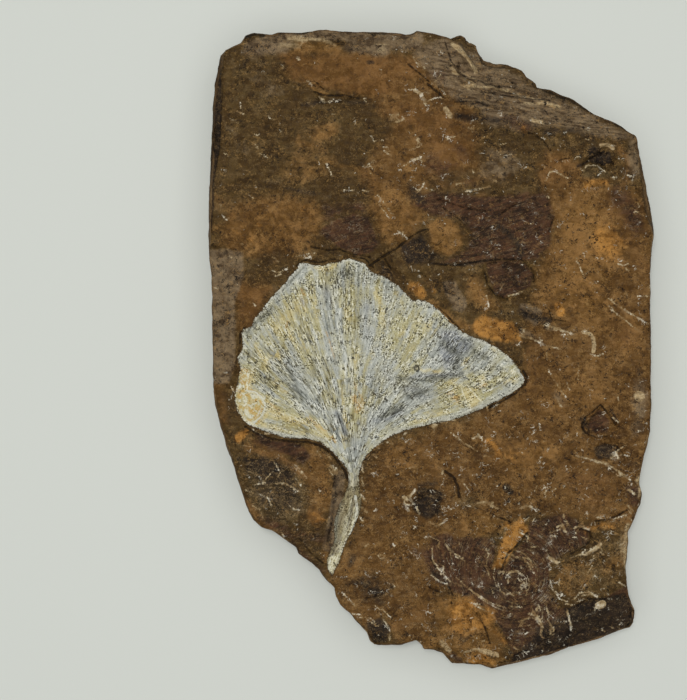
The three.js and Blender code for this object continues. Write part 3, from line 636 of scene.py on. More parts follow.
        (0, 0.4, 0.95, 25.2,28.6, 25.6,30.2, 27,30.8, 29.4,29.4, 28.8,28.2),
        (1.8, 1.2, 0.7, 24,-38, 28,-37), (0, 1.6, 0.6, 3,-24, 8,-23.6, 8,-27, 4,-27),
    ],
    "sand": [
        (0.36, 0.3, 1.0, 3.6,51, 5.2,49.8, 6.8,47.8, 7.6,46.4),
        (0.12, 0.3, 0.8, 3.4,47.8, 5,46.4, 7.6,45.2), (0.35, 0.35, 0.8, 3.6,46.2, 4.4,45.8),
        (0.14, 0.32, 0.85, 4,44.8, 6,43.6, 10,43.8, 13,43),
        (0.12, 0.3, 0.75, 6,43.4, 9,42.6, 13,42.4, 17,42.2),
        (0.22, 0.3, 1.0, 15.6,41, 18.6,41, 21.8,40.4),
        (0.7, 0.7, 0.62, -23.6,51.8, -18,51.6, -16,50.6), (0.35, 0.5, 0.6, -10.4,50.9, -7,50.6),
        (0.4, 0.5, 0.85, 25.6,-34.2, 27.4,-33.2, 28.2,-32.4),
        (0.6, 0.7, 0.72, 32.8,-29.4, 32.2,-33, 32.6,-37.5), (0.4, 0.5, 0.75, 19.8,-34.8, 21,-35.6),
        (0.5, 0.8, 0.5, 30.2,-31, 31.4,-36.6), (0.45, 0.5, 0.7, 35,-20.6, 34.6,-24.6),
        (0, 0.3, 0.9, 7,-49.7, 9,-49.8, 11.2,-50.5, 11.5,-51.5, 9.8,-51.2, 8,-50.5),
        (0.7, 0.25, 1.0, 28,-42.7, 28.5,-42.5), (0.8, 0.9, 0.5, 31.5,-30.5, 31.6,-35),
        (0.35, 0.6, 0.6, 35.5,-10, 36.4,-13, 35.6,-16.4), (0.6, 0.6, 0.5, 2.4,-32.6, 3.6,-33.8),
        (0.24, 0.25, 1.0, 3.6,51, 5.4,49.2, 7.7,46.8),
        (0.16, 0.25, 0.9, 2.8,47.4, 5,45.6, 7.2,44.3),
        (0.1, 0.2, 0.9, 8.8,43.8, 14.4,42.7, 21.5,40.7), (0.35, 0.3, 0.9, 16.8,38.1, 18.6,37.7),
        (0.6, 0.5, 0.75, 2.4,40, 3.2,38.8), (0.5, 0.4, 0.8, 34.6,-21.4, 34.2,-22),
        (0.1, 0.3, 0.75, -32.6,-15.9, -29,-16.4, -26,-17.6),
        (0.12, 0.35, 0.8, -25,-17.6, -23,-19.4, -21.4,-20.8),
        (0.3, 0.3, 0.9, 28.2,34, 29.6,34, 30.4,33.4), (0.9, 0.22, 1.0, 34.6,-7.9, 34.7,-7.9),
        (0.32, 0.2, 1.0, 25.3,2.9, 26.4,2.6, 27,1.8, 27.2,0.5, 27,-0.4),
        (0.6, 0.6, 0.8, 1.8,-48.8, 3,-50.2), (0.3, 0.4, 0.7, 5.6,44, 13,43.4),
        (0.3, 0.3, 0.8, 5.4,-50.6, 7,-50), (1.2, 1, 0.46, -25,50.6, -8,49.8),
        (0.6, 0.7, 0.5, 33,34.6, 34.4,32.4), (0.8, 0.9, 0.5, 24.6,36.8, 28.4,35.6),
    ],
}

# Shreds of pale plant matter, as lines through places x,y, under their half widths.
SHREDS = {
    0.08: [
        (-32.4,39.6, -31.2,39.2), (-33.5,38.4, -32,37.6), (-31.8,41, -31.6,40),
        (-33.6,35.9, -33,36.4), (-28.4,32.6, -27.6,32, -26.8,31.8), (-30.4,25.6, -29.6,25.2),
        (-22.5,15.4, -19.4,16), (-10.8,41.8, -11.2,41.5, -10.8,41), (-8,33.6, -7.2,33.6, -6.8,32.8),
        (-10,35.4, -9.4,34.6, -8,34.8), (-14.8,26.4, -13,26.4, -12,26), (-8,24.6, -6.4,22.4),
        (-0.8,26.8, 0.6,26.4), (-0.4,41.4, 1.8,42), (11,33, 11.6,32.4), (24.2,15.2, 24.4,14),
        (30,8.4, 30.8,8), (9.2,9, 9.6,7), (24.6,-2.6, 24.4,-5), (22.6,-5.6, 23,-6.8),
        (19.4,-3.4, 21,-6, 22.4,-8), (-26.4,-20.4, -28,-22.2), (-12.4,-44.6, -10,-44.8, -8.8,-46.2),
        (-10.6,-45, -9.2,-46), (-29.6,-29.6, -26.8,-30.4), (-25,-30.2, -24.4,-31.6),
        (-12.8,38.4, -12.6,37.4), (21.4,-38, 21.2,-39, 21.8,-41),
        (23.2,-34.8, 24.8,-34.2, 25.6,-33.4), (26.4,-33.2, 28,-32.6, 28.4,-33.6, 27.4,-35),
        (16.6,-35.6, 17,-36.6), (12,-37.4, 13.6,-37, 15,-37.6), (11.2,-39, 11.6,-40.4),
        (12.6,-42, 14.6,-42.6), (15.8,-39, 15.8,-40.4), (12.4,-38.2, 13,-37.2, 14.2,-36.9),
        (16.2,-38.2, 16.4,-39.6, 15.8,-41), (10.6,-36.2, 10.4,-38, 11,-39.6),
        (13.6,-40.4, 14.8,-40.6),
    ],
    0.09: [
        (-26.4,15.4, -25.4,14.4), (-3,27, -2,26.2), (-6.2,19, -4.6,19.4),
        (24.4,14.4, 25.4,12.2, 25.6,11.6), (25.6,12.4, 26.4,13.2), (32.4,9.6, 32.8,8.6),
        (31,-7.6, 31.2,-8.6), (6.4,-16.2, 7.6,-17), (29.6,-19.8, 31,-21, 32.2,-21.4),
        (31,-17, 32.4,-16), (31.6,-17.6, 33,-17.8), (5.4,-22.4, 6.4,-23.6), (2.6,-38.8, 3,-40),
        (4.2,-38, 5.4,-39.2), (10,-39.8, 10.4,-40.8), (-9.4,-42.6, -8.4,-43.4),
        (3,-33.8, 4.6,-34.4, 5.6,-35.4), (-30.4,-20.4, -29,-20.8, -28.2,-21.8),
        (-28.6,-24.2, -27,-25, -26.6,-26.2), (-26,-19, -25.2,-20.6, -25.6,-21.6),
        (-24.2,-25.4, -23,-26.6, -21.8,-26.8), (-29.8,-26, -28.4,-26.8, -28,-28),
        (-22.6,-21.4, -21.6,-22.8),
    ],
    0.1: [
        (-24.8,47.2, -24.6,46.6), (-29.6,35.9, -29,35.5, -28.6,35.8), (-34.4,32.6, -33.7,32.2),
        (-27,38.6, -26.2,38.2), (-35.6,24.1, -35.1,24, -35,23.8),
        (-34.8,22.4, -34.2,21.6, -33.6,21.7), (-26.4,13, -25.4,12.6, -24.4,13.2, -23.8,13.4),
        (-26,12.2, -25,12.4), (-8.4,46.6, -8.3,46), (-7,39, -6,38.6, -5.6,38.2, -6.6,38),
        (-4.8,38.6, -4.2,38), (-7.8,33, -7,32.4), (-3.6,33, -1.8,33.8), (-4.8,30.4, -3,31.4),
        (-11.2,30.4, -10,30.4, -9.6,29.8), (-11.4,26.4, -10.4,26.2), (-8.6,24, -7,21.8),
        (-2.4,26, -1.4,27, -1.2,27.6), (-1.2,42.8, -0.4,42.6), (-3,48.8, -2.6,47.8, -1.8,47.2),
        (-2.2,47.8, -1,46.8), (0,44, 1.2,45, 1.6,45.8), (0.6,44, 2,43, 2.6,42),
        (2.4,35.2, 3,35.2, 4,35.4), (3,35, 2.6,34.8), (6.8,36.2, 7.6,36), (11.4,34, 12.4,34.2),
        (12,32.2, 13.4,32.4), (19,28, 19.6,28.8, 19.8,29.8), (24,31.9, 24.8,32),
        (32.6,29, 33.6,28.6, 33.4,27.8), (34.4,24.2, 34.6,23.6), (31.4,14.6, 31.8,14.7),
        (29.6,7.2, 30.2,6.8), (11.6,10, 12,10.8), (19.8,4.2, 19,4.3), (21.6,2.4, 22.2,2.4),
        (26.6,-0.8, 27.6,-1.2, 28.6,-0.8), (19.2,-0.6, 19.3,-1.8), (8.8,-17.8, 9.8,-17.8),
        (21,-8.4, 21.8,-9.8), (34,-13.8, 34.8,-13.6), (18.4,-23.4, 19,-23, 19.2,-23.8, 18.6,-24),
        (20.2,-23.6, 20.8,-23.2), (17.6,-22.8, 17.2,-23.6), (10.4,-22.4, 11,-22.8),
        (14.8,-26.4, 15.8,-26, 16.8,-26.6), (5.8,-26, 6.6,-26.2),
        (-4.6,-24.8, -3.6,-24.2, -3.4,-24.6), (-2.6,-29.6, -2.9,-30), (-3.6,-19.8, -2.8,-19.6),
        (-11,-32.9, -10.4,-32.4), (-5.2,-29.8, -4.8,-29.6),
        (-8.9,-34.4, -8.6,-34.2, -8,-34.3, -7.8,-34.7, -8.4,-34.9, -8.9,-34.4),
        (-6.4,-39, -6,-39.6), (-0.2,-31.2, 1.4,-32, 1.2,-33), (2.4,-32.4, 3.2,-34, 3.4,-35),
        (4.6,-32, 4.8,-32.6), (2,-36, 2.2,-38.2), (1.6,-37.6, 2,-36.2),
        (5.6,-34.6, 5,-35, 3.6,-34.4), (13,-34.8, 13.8,-35.2), (16.2,-36, 17.2,-37.4),
        (22,-27.6, 22.2,-28.6), (24,-30.6, 24.8,-29.6, 25.6,-30), (23.4,-31.2, 24.2,-31.4),
        (25,-31.2, 25.8,-31.6), (27,-34.4, 28,-33.8, 28.8,-34.2), (26.6,-35, 27.4,-34.6),
        (16.8,-28.8, 17.2,-28.2), (15.6,-28.6, 16.2,-28), (30.6,-28.2, 32.4,-27.6),
        (0,-37.6, 1.2,-38.6, 2.6,-39.2), (13.2,-42.8, 15.2,-43), (11.2,-37.4, 12.2,-37),
        (13,-37.4, 14.4,-37, 15.4,-37.8), (13,-38, 12.8,-39), (15.2,-38.4, 15.6,-39.4, 15,-40),
        (14.4,-38.2, 15,-38.8), (11.6,-40.4, 12.6,-41), (19.8,-38.4, 20.2,-40),
        (20.2,-40, 21.4,-41.6, 22.6,-42), (20.6,-40.4, 21.6,-41), (25.4,-37.4, 25.8,-38.2),
        (16,-44.8, 17.4,-44.8, 18.2,-46), (18,-44.8, 18.6,-46, 18.4,-47.6),
        (22.4,-43.6, 23,-45, 23.6,-46.6), (16.4,-46, 15.2,-46.2), (15.6,-47.4, 16.4,-47),
        (18,-47.6, 19,-48.2), (15.2,-50.2, 15.6,-50.5), (30,-46.6, 30.6,-46.8),
        (24.4,-42, 25.4,-41.6), (27.2,-43.5, 27.4,-42.4, 28.4,-41.9, 29.1,-42.6),
        (-33.4,-6.2, -32.8,-7.2), (-29.6,-22.6, -27.6,-22.4), (-17,-20, -16.4,-21),
        (-18.6,-23.4, -18.4,-23.9), (-8.6,-16.6, -9.2,-16.4), (-4.6,-14.2, -4,-13.8),
        (-9.6,-17.4, -9,-18.2), (-10.2,-17.6, -10.8,-18), (-7.6,-15, -7,-14.7),
        (-13.8,-44, -11.6,-44.2), (-8.2,-43.2, -6.8,-44.6), (-8,-45, -7,-46.4, -6.8,-47.2),
        (-7.6,-49.4, -7.2,-49.5), (-20.8,-37.4, -20.4,-37.6), (-31,-26.6, -30.4,-28),
        (-17.5,30.9, -16.4,28.7), (-33.6,15.4, -33.2,15.3), (-31.8,17.6, -31.4,17.4),
        (6.7,-40.4, 9,-42, 10.4,-42.8, 12,-43.6), (14.9,-45.6, 16.4,-44.6, 17.8,-43),
        (17.8,-42.6, 18.6,-44, 18.4,-46), (26.8,-36, 26,-37.4), (14,-33.4, 15.6,-34.2, 16.4,-35),
        (25.2,29.6, 26,30.6, 27.6,30.5, 29,29.4), (9.6,-33.9, 9.2,-36, 9.8,-38.2),
        (-31,-23.4, -29.6,-24),
    ],
    0.11: [
        (8.8,-41.6, 10.6,-42.6, 12.4,-43.1),
    ],
    0.12: [
        (-18.6,42, -17.8,41.3), (-15.8,41.3, -15.2,41.5), (-29.2,34, -28.8,33.4),
        (-21.2,15.1, -20.4,15.4, -20,15.2), (-6.8,38.2, -6,39.4), (-2.6,35.6, -1.8,34.6, -2.2,34.2),
        (-3.2,31.6, -2,31.8, -1.6,31.2), (-10.6,30.6, -9.8,31.2, -9.4,31.4),
        (-8.9,25.6, -8.3,25, -8.6,24.4), (-5.4,19.6, -4.4,18.8, -4,18.4),
        (6.2,36.8, 7,36.6, 7,37.2), (6.8,29.8, 7.2,29.4), (4.2,27.4, 5,27.6, 5.4,27.5),
        (21.8,31.3, 22.2,31.2), (25.8,34.9, 26.2,34.8), (28.2,33.7, 29.4,34.2, 30.6,33.8),
        (30,28.6, 30.8,28.6, 30.4,28.2), (33.8,22.8, 34.4,22.9, 34.8,22.4), (34.4,8.8, 36.6,8.8),
        (12.8,8.9, 14,9.1, 15.1,9.5), (5.2,11.6, 5.8,11.6), (19.2,3.4, 20.6,3.1),
        (0.6,-13.2, 0.5,-13.8), (3.3,-13.9, 5.4,-15.7), (18,-12.4, 18.2,-13.2),
        (30.2,-11.4, 31.2,-12.2), (24.2,-17.8, 26,-18.2, 28,-19), (19,-23.8, 19,-24.6),
        (8,-25.4, 9,-26), (-9.6,-27, -9,-26.6), (15.2,-34.6, 15.8,-35.4, 16.6,-36),
        (15.6,-34.8, 16.4,-35, 16.8,-35.6), (16.6,-33, 17.8,-32.8), (20,-31, 20.8,-31.2),
        (19.6,-30.6, 21.4,-30), (27.6,-28, 28.2,-28), (31.2,-38.8, 32.6,-39.6),
        (5.4,-39.2, 7.2,-40.6, 8.8,-41.6), (6.4,-42.2, 8,-42.6), (12.4,-41, 13.2,-40.6, 13.8,-41.2),
        (22.4,-42.4, 23.4,-42.6), (14.6,-45.4, 16.4,-44.8), (19.4,-45, 20,-46.2),
        (19.2,-43.2, 19.6,-44.2), (13.8,-49.6, 14.4,-50), (28.6,-47.1, 29.2,-47.3),
        (25,-41, 26.6,-40.8, 27.6,-41), (8.5,-48.6, 8.9,-48.5), (-35.2,-3.9, -34,-4),
        (-25.8,-22.4, -24.2,-22.4, -22,-23.8), (-24.8,-13.6, -27.8,-14.2),
        (-29.8,-13.4, -27.8,-14.6), (-16.6,-19.4, -15.8,-19.8, -15.6,-20.6),
        (-16.4,-20.2, -15.8,-21), (-8.8,-16, -8,-15.6), (-7.4,-15.4, -6.4,-15.8),
        (-6,-14.6, -5.2,-14.9), (-14.8,-40.5, -13.8,-41.6, -12.5,-42.8), (-25.1,36.3, -24.9,36.2),
        (-29.6,7.6, -29.2,7.2), (-36,10.2, -35.4,10.1), (-11.6,-21.4, -11.3,-22.8),
        (-10.3,-18.1, -11.6,-19), (-17.4,-17.4, -16.6,-18.4), (15.6,-45.6, 14.6,-46.2),
        (24.1,-17.8, 28,-18.8, 30,-19.6, 32.4,-21.1), (15,2.4, 17,1.6, 19,0.6, 21.6,0),
        (29.6,8.4, 31.4,7, 33,6, 36.2,4.2), (30,6.6, 32.6,4.6, 34.6,3),
        (0.2,-33, 0.2,-35, 1.4,-36.8, 3,-38.6, 5,-39.4), (-22.8,-19.2, -21.8,-20, -20.8,-21.4),
    ],
    0.13: [
        (31.2,14.1, 32,13.9, 32.8,14.2), (12.2,-35, 13,-34.2, 13.8,-34.4),
        (24.4,-34.2, 25.6,-34.2, 26.6,-33.4, 27.8,-33, 28,-31.8),
    ],
    0.14: [
        (-18.2,41.2, -17,41.1, -16.2,41.6), (-3.6,43.2, -2.6,43.2, -1.8,42.6),
        (-1.8,42.2, -0.8,41.4, -1,40.6), (5.8,26.3, 6.8,26.4), (7.2,26.5, 8.8,26.8, 9.8,27.1),
        (19.2,25.4, 19.6,25.2), (19.9,29.4, 20.8,29.6, 21.4,29.1, 22.6,28.4), (32.4,13.4, 32.8,13),
        (36.4,10.6, 36.6,9.6), (18.9,4, 20,3.6, 21.7,3.2), (18,1.8, 18.4,1.4),
        (9.3,-9.6, 9.5,-10.3), (10.2,-9.8, 11.2,-9.1), (1.6,-12.2, 3,-12.3), (7.8,-14.2, 8.6,-15.2),
        (1.8,-20.8, 2,-20.2), (-4.2,-25, -4.6,-25.6, -3.6,-26), (9.2,-33.4, 9.4,-34),
        (19.6,-34.6, 20.4,-35.6, 21.4,-35.4), (32.8,-26.8, 33.4,-27.4), (32.4,-27.8, 33.6,-28.6),
        (7.2,-42.6, 8.4,-43.2, 9.6,-43.8), (17,-43.4, 16.8,-44.2, 18,-44.6),
        (17.2,-44.2, 17.8,-43.2), (19.8,-46.6, 20.4,-46.4, 20.4,-47.4, 19.9,-47.6, 19.8,-46.6),
        (-6.9,-47.6, -6.9,-48.4), (-16.5,39, -16.2,38.9), (-11.5,-19, -11.4,-20.4),
        (-19,-17, -18.4,-17.8), (16.2,-44, 17.6,-44.4, 18.4,-45.8, 18.2,-47.4),
        (14.8,-26.6, 16,-26.1, 17,-26.4), (12.3,-34.1, 13.4,-34.4, 14.5,-34.8),
        (14.7,-30.5, 16.2,-31.2, 16,-32), (23.7,-29.8, 25,-29.4, 26.2,-30.2),
        (31.2,-20.6, 33.2,-21.8), (-0.4,-28.8, 1,-29.4, 2.2,-28.8),
    ],
    0.16: [
        (-20.6,44.6, -19.9,43.9), (-20.4,40.9, -19.8,40.4), (7.6,-10.6, 8.2,-10.7),
        (5.4,-15.7, 6.4,-16.2), (28.6,-18.8, 29.4,-19.1), (11.4,-35.6, 11.9,-36.2),
        (22.4,-28.6, 22.8,-29.2), (-9.8,-17.5, -9.3,-18), (-16.8,-19.5, -15.9,-20.3, -15.7,-21),
        (22.6,-43.3, 23,-45, 23.4,-46.8), (23.8,-41.6, 24.6,-40.6, 26.2,-40.4, 27.6,-41.2),
        (32.6,-26, 33.6,-27), (19.3,4, 21,3.3, 23.9,2.4),
    ],
    0.17: [
        (-6.3,-32.5, -6.1,-32.8),
    ],
    0.18: [
        (-11.8,-24.2, -11.2,-25),
    ],
    0.2: [
        (-22.3,48.5, -22,48.2), (10.4,28, 10.8,28), (15,3.3, 15.3,3),
        (7,-14.9, 7.8,-14.5, 8.4,-14.8), (9,-25.6, 10.2,-25.6),
        (-12,-26.3, -11.2,-26.6, -10.8,-27.2), (-11.8,-28, -11.4,-28.6), (-5.8,37.8, -4.6,38.2),
        (14.8,2.3, 16.6,1.8), (7.7,-25.6, 9.2,-25.4, 10.2,-26.2, 11.1,-26.5),
        (21,-29.6, 21.8,-29.2, 22.3,-30.4), (32.8,-23.4, 34,-24.2),
        (30.2,-17.6, 30.8,-17.2, 31.2,-18.2), (-2.6,-23.4, -3.6,-24.6, -3,-25.8),
        (-2.4,-26.4, -2,-27.4),
    ],
    0.22: [
        (-1.4,41.6, -1,41), (-2.4,34.8, -1.8,34.2), (19.4,3.8, 21.4,3.3),
    ],
    0.24: [
        (3.5,-11.7, 4.1,-11.8), (-4.2,-26.2, -3.8,-26.8),
    ],
    0.26: [
        (30,-18.1, 30.8,-17.5), (-6.6,38.4, -5.6,39), (-3,31.4, -1.8,31.8),
    ],
    0.3: [
        (-4.6,-24.6, -4,-25), (-2.6,43, -1.6,42.4),
    ],
    0.35: [
        (27.6,-42.9, 28.5,-42.7),
    ],
    0.45: [
        (0.4,-12.8, 0.7,-12.8),
    ],
}
# Open cracks and the shadowed feet of ledges, in the same way; the finish paints them dark as their
# shade.
CRACKS = {
    0.1: [
        (-19.4,44.6, -17.9,43.3), (2.4,51.4, 3.4,48, 5.8,45.6), (7,45.6, 9,44.4, 14,43.8),
        (8,43, 14,42, 20,41.6), (1,25, 6,23.4, 9,23), (2,23.6, 5,21.4),
        (20.6,31, 21.8,31.6, 23,31.8), (11,14.9, 15,14.9, 16.8,13.2, 17.2,11.2), (10.8,9, 12.6,8.4),
        (25.8,-14, 27.6,-14.8, 29.4,-14.6), (-16.6,-29, -17.4,-32.4), (-10.8,-41.4, -8.6,-41),
        (-13.6,-44.6, -10.6,-46.8, -9.8,-48.6), (-31.4,-16.2, -31.2,-14.2, -30,-13.6),
        (19.6,6.6, 20,5, 22.4,4.6), (-3.8,12.8, -1.8,12.8, -0.6,11.8),
        (-34.7,44, -35.3,34, -36,28.6), (12.6,-23, 13,-24), (20.4,22, 19.6,19.6),
        (-0.4,-39.6, 1.6,-40.6), (29,-15.9, 31,-16.2, 31.8,-17.4), (-22,-31.4, -20,-34, -18,-35.6),
    ],
    0.12: [
        (-14.8,16.4, -13,15.8, -10,15.2), (-20,17, -17,16.4, -15,16.6), (-14.4,42.3, -12,41.6),
        (4,41.2, 7.4,41.4, 9.4,40.6), (16.2,36, 17.4,35.6, 18.8,34.6, 19.8,33),
        (11.8,22.6, 12.8,23.4, 14,24), (25.2,30.6, 26.4,31.6, 27.8,32.4, 29.4,32.6),
        (0.4,14.2, 4,13.9, 7.4,14.5, 11,14.9), (9,12.8, 9.4,10.8, 10.8,9),
        (28.2,-9.3, 27,-10.4, 25.6,-11.4), (23,-34.2, 25.6,-32.8, 26.6,-31.6),
        (3,-39.6, 3.6,-41, 3.4,-42.4), (11.4,-28, 13.6,-29), (7.6,-44, 9,-46.4, 9.8,-49),
        (13.8,-51, 17.6,-49.4, 20.8,-47), (26.9,-42.2, 26.8,-43.6), (12.4,-8.4, 9.6,-9.8),
        (13.6,-1.4, 14.8,-2.8), (3.4,4.7, 4.6,3.5), (0.8,7.2, 2.4,5.8, 3.4,4.7),
        (-32.6,-2.4, -31.8,0, -31.8,2.6, -30.8,3.8), (-13,15.4, -11,15, -9.6,13.6),
        (-15.9,-21, -16.3,-23), (-11.8,-18.4, -10.8,-18.4, -9.6,-17),
    ],
    0.13: [
        (-4.6,17.7, -3,18.9, -1.4,19.8, -0.4,20),
    ],
    0.14: [
        (-7.7,15, -7.1,14.2, -6.7,13.4), (-3.8,47.4, -2,46, -0.4,44.6),
        (28.2,-9.3, 29.6,-11, 30.8,-12.6), (27.4,-28.6, 29.4,-28.4, 31,-27.8, 32.6,-26.8),
        (24.4,-29.8, 26.4,-30.4, 26.6,-31.6), (24,-43, 26,-41.6, 29,-41.6),
        (-22.4,13.9, -21.2,14.8, -18.6,14.4, -16,15),
    ],
    0.16: [
        (-19.4,42.8, -18,42.3, -16,42.2, -14.4,42.3), (25.6,-11.4, 25.2,-12.8, 25.8,-14),
        (16,-30.6, 14.4,-32.6, 12.8,-34, 11.8,-36.8),
        (-31,-12.9, -29.2,-14, -26.8,-14.9, -24,-15.3, -20.4,-15.5), (15.4,-6, 14,-7.4, 12.4,-8.3),
    ],
    0.18: [
        (-0.6,44.2, 0.8,43, 2,42),
        (-20.4,-15.5, -18.4,-16.1, -16.8,-17.2, -15.4,-18.8, -14.3,-20.4, -14,-21.6),
    ],
    0.2: [
        (-10.2,13.9, -8.2,15.3, -6,16.6, -4.6,17.7),
    ],
    0.22: [
        (2.4,-20.4, 3.8,-21.4, 4.4,-22.8, 4.7,-24.6), (15.3,-3.6, 15.9,-4.8, 15.6,-6),
    ],
}
LINE_BLUR = 0.3                    # the soft edge of a shred or a crack
CRACK_DEPTH = 0.3
SHRED_RISE = 0.05
PIT_DEPTH = 0.12
PIT_STRENGTH = 0.9                 # umber stains above this strength are pits
FILM_SEAT = 0.05                   # how far the face lies lower right by the leaf's outline


def near_line(x, y, points, half_width, blur, strength=1.0):
    """A stain's strength at each place: half at its edge, full at blur inside it."""
    xs = [p[0] for p in points]
    ys = [p[1] for p in points]
    room = half_width + blur
    close = (
        (x > min(xs) - room) & (x < max(xs) + room) & (y > min(ys) - room) & (y < max(ys) + room)
    )
    value = np.zeros(np.shape(x))
    px = x[close]
    py = y[close]
    if half_width:
        depth = half_width - line_distance(px, py, points)
    else:
        depth = line_distance(px, py, points + points[:1])
        depth = np.where(within(px, py, points), depth, -depth)
    value[close] = strength * np.clip(0.5 + depth / (2 * blur), 0, 1)
    return value


def stained(x, y, shapes):
    """The strongest of several stains at each place."""
    total = np.zeros(np.shape(x))
    for half_width, blur, strength, *numbers in shapes:
        points = list(zip(numbers[::2], numbers[1::2]))
        total = np.maximum(total, near_line(x, y, points, half_width, blur, strength))
    return total


def lines(x, y, table):
    """The same for a table of lines that are kept under their half widths."""
    return stained(x, y, [
        (half_width, LINE_BLUR, 1.0, *numbers)
        for half_width, rows in table.items() for numbers in rows
    ])


def stone_face(x, y):
    """The split face with its cracks and pits cut in, its shreds raised, and the leaf's bed."""
    open_crack = ease(0.3, 0.85, lines(x, y, CRACKS))
    shred = ease(0.35, 0.7, lines(x, y, SHREDS))
    pit = ease(0.3, 0.9, stained(x, y, [s for s in STAINS["umber_and_shade"] if s[2] > PIT_STRENGTH]))
    face = split_face(x, y) - CRACK_DEPTH * open_crack + SHRED_RISE * shred - PIT_DEPTH * pit
    depth = leaf_depth.read(x, y)
    face = face - FILM_SEAT * ease(-0.1, 0.15, depth)
    return face - ease(*LIP, depth) * (face - BED_FLOOR)


def by_lines(x, y):
    """True at places on a shred or a crack, or in their soft edges."""
    return np.maximum(lines(x, y, SHREDS), lines(x, y, CRACKS)) > 0.02


def on_open_face(x, y):
    """Places away from the lines, and only a few of them out of sight under the leaf."""
    in_sight = (leaf_depth.read(x, y) < 1.4) | (bumps(x, y, 0.31, 61) > 0.45)
    return in_sight & ~by_lines(x, y)


def on_lines(x, y):
    """The lines' own places, as far as they can be seen."""
    return (leaf_depth.read(x, y) < 0.8) & by_lines(x, y)


RIM_CLEARANCE = 0.2
BASE_STEP = 2.2
BASE_CLEARANCE = 1.2
RIM_DROP = 0.07
BASE_HOLLOWS = 0.35

top_flat, top_faces, top_order = net(top_ring, np.concatenate([
    spread(top_ring, SLAB_STEP, 62, RIM_CLEARANCE, on_open_face),
    spread(top_ring, LINE_STEP, 64, RIM_CLEARANCE, on_lines),
]))
bottom_ring, bottom_level = edge_rings[0]
base_flat, base_faces, base_order = net(
    bottom_ring, spread(bottom_ring, BASE_STEP, 63, BASE_CLEARANCE)
)

ring_count = len(top_ring)
on_rim = [i for i, given in enumerate(top_order) if 0 <= given < ring_count]
top_height = stone_face(top_flat[:, 0], top_flat[:, 1])
top_height[on_rim] -= RIM_DROP
on_foot = [i for i, given in enumerate(base_order) if 0 <= given < ring_count]
base_height = BASE_HOLLOWS * rough(base_flat[:, 0], base_flat[:, 1], 16, 64, 4) - 0.02
base_height = np.maximum(base_height, 0)
base_height[on_foot] = bottom_level[[base_order[i] for i in on_foot]]

rock, rock_places = sheet_mesh(
    "rock_slab_stone", edge_rings,
    (top_flat, top_faces, top_order, top_height),
    (base_flat, base_faces, base_order, base_height),
)
rock_places = keep_in_box(rock, rock_places, *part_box("rock_slab"))


def note(piece, name, values):
    """Keeps a number for each place of a mesh, for its finish to read."""
    kept = piece.data.attributes.new(name, "FLOAT", "POINT")
    kept.data.foreach_set("value", np.asarray(values, np.float32))


rock_x, rock_y = rock_places.T[:2]
found = {stain: stained(rock_x, rock_y, shapes) for stain, shapes in STAINS.items()}
for stain, values in found.items():
    note(rock, stain, values)
note(rock, "shred", lines(rock_x, rock_y, SHREDS))
note(rock, "crack", lines(rock_x, rock_y, CRACKS))

# The broken edge and the underside count as broken, and the rim of the face half so.
edge_count = ring_count * len(EDGE_SHARES)
face_end = edge_count + len(top_flat)
broken = np.ones(len(rock_places))
broken[edge_count:face_end] = 0
broken[edge_count:face_end][on_rim] = 0.5
note(rock, "broken", broken)

# How strong its grain is, how many fine lines it has, and how many loose shreds.
COIL = (16, -39)                   # the middle of the maroon patch, low on the right
COIL_REACH = 8.5
SMOOTH_SKIN = [(12, -17), (19, -18)]
low_down = ease(-8, -22, rock_y)
near_coil = np.exp(-(np.hypot(rock_x - COIL[0], rock_y - COIL[1]) / COIL_REACH) ** 2)
smooth_skin = near_line(rock_x, rock_y, SMOOTH_SKIN, 3, 2.5)
busy = 1.05 + 0.15 * low_down + 0.2 * ease(2, 12, rock_x) + 0.12 * found["ochre"]
busy += 0.3 * found["slate_and_shade"] - 0.4 * found["rust"] - 0.6 * smooth_skin
busy -= 0.6 * found["umber_and_shade"] * low_down + 0.4 * found["maroon"]
note(rock, "busy", busy)
lined = 1 + 0.5 * low_down * (1 - found["maroon"]) - 0.3 * found["rust"]
lined += 1.1 * found["olive"] * low_down - 0.7 * smooth_skin
note(rock, "lined", lined)
note(rock, "scatter", -1 + 1.2 * ease(-14, -2, rock_x) + 0.9 * low_down)

# The lie of the thin beds that show as streaks: coiled low on the right, slanting elsewhere.
BUNDLE = (14.5, -38)               # the middle of a coiled shred
BUNDLE_REACH = 9.5
MIDDLE_SLANT = 17                  # degrees, how the beds' edges run across the middle
UPPER_SLANT = -9                   # and along the upper right edge
EVEN_PATCH = [(9.4, -41), (11.4, -39.2)]
coil = np.hypot(rock_x - BUNDLE[0], rock_y - BUNDLE[1])
coiled = np.exp(-(coil / BUNDLE_REACH) ** 2)
upper = ease(29, 38, rock_y)
lie_across = coil * coiled
lie_along = 3 * np.abs(np.arctan2(rock_y - BUNDLE[1], rock_x - BUNDLE[0])) * coiled
for slant, share in ((MIDDLE_SLANT, 1 - upper), (UPPER_SLANT, upper)):
    sine, cosine = math.sin(math.radians(slant)), math.cos(math.radians(slant))
    lie_across += (rock_y * cosine - rock_x * sine) * share * (1 - coiled)
    lie_along += (rock_x * cosine + rock_y * sine) * share * (1 - coiled)
note(rock, "lie_across", lie_across)
note(rock, "lie_along", lie_along)
note(rock, "streaky", upper * ease(-4, 3, rock_x))
even = near_line(rock_x, rock_y, EVEN_PATCH, 1.4, 1.4)
note(rock, "swirl", (0.25 + 0.75 * near_coil) * (1 - 0.8 * even))


def paint(red, green, blue):
    """A colour from its parts out of 255, as they look, to the light that it sends back."""
    light = [
        c / 12.92 if c <= 0.04045 else ((c + 0.055) / 1.055) ** 2.4
        for c in (red / 255, green / 255, blue / 255)
    ]
    return (*light, 1.0)


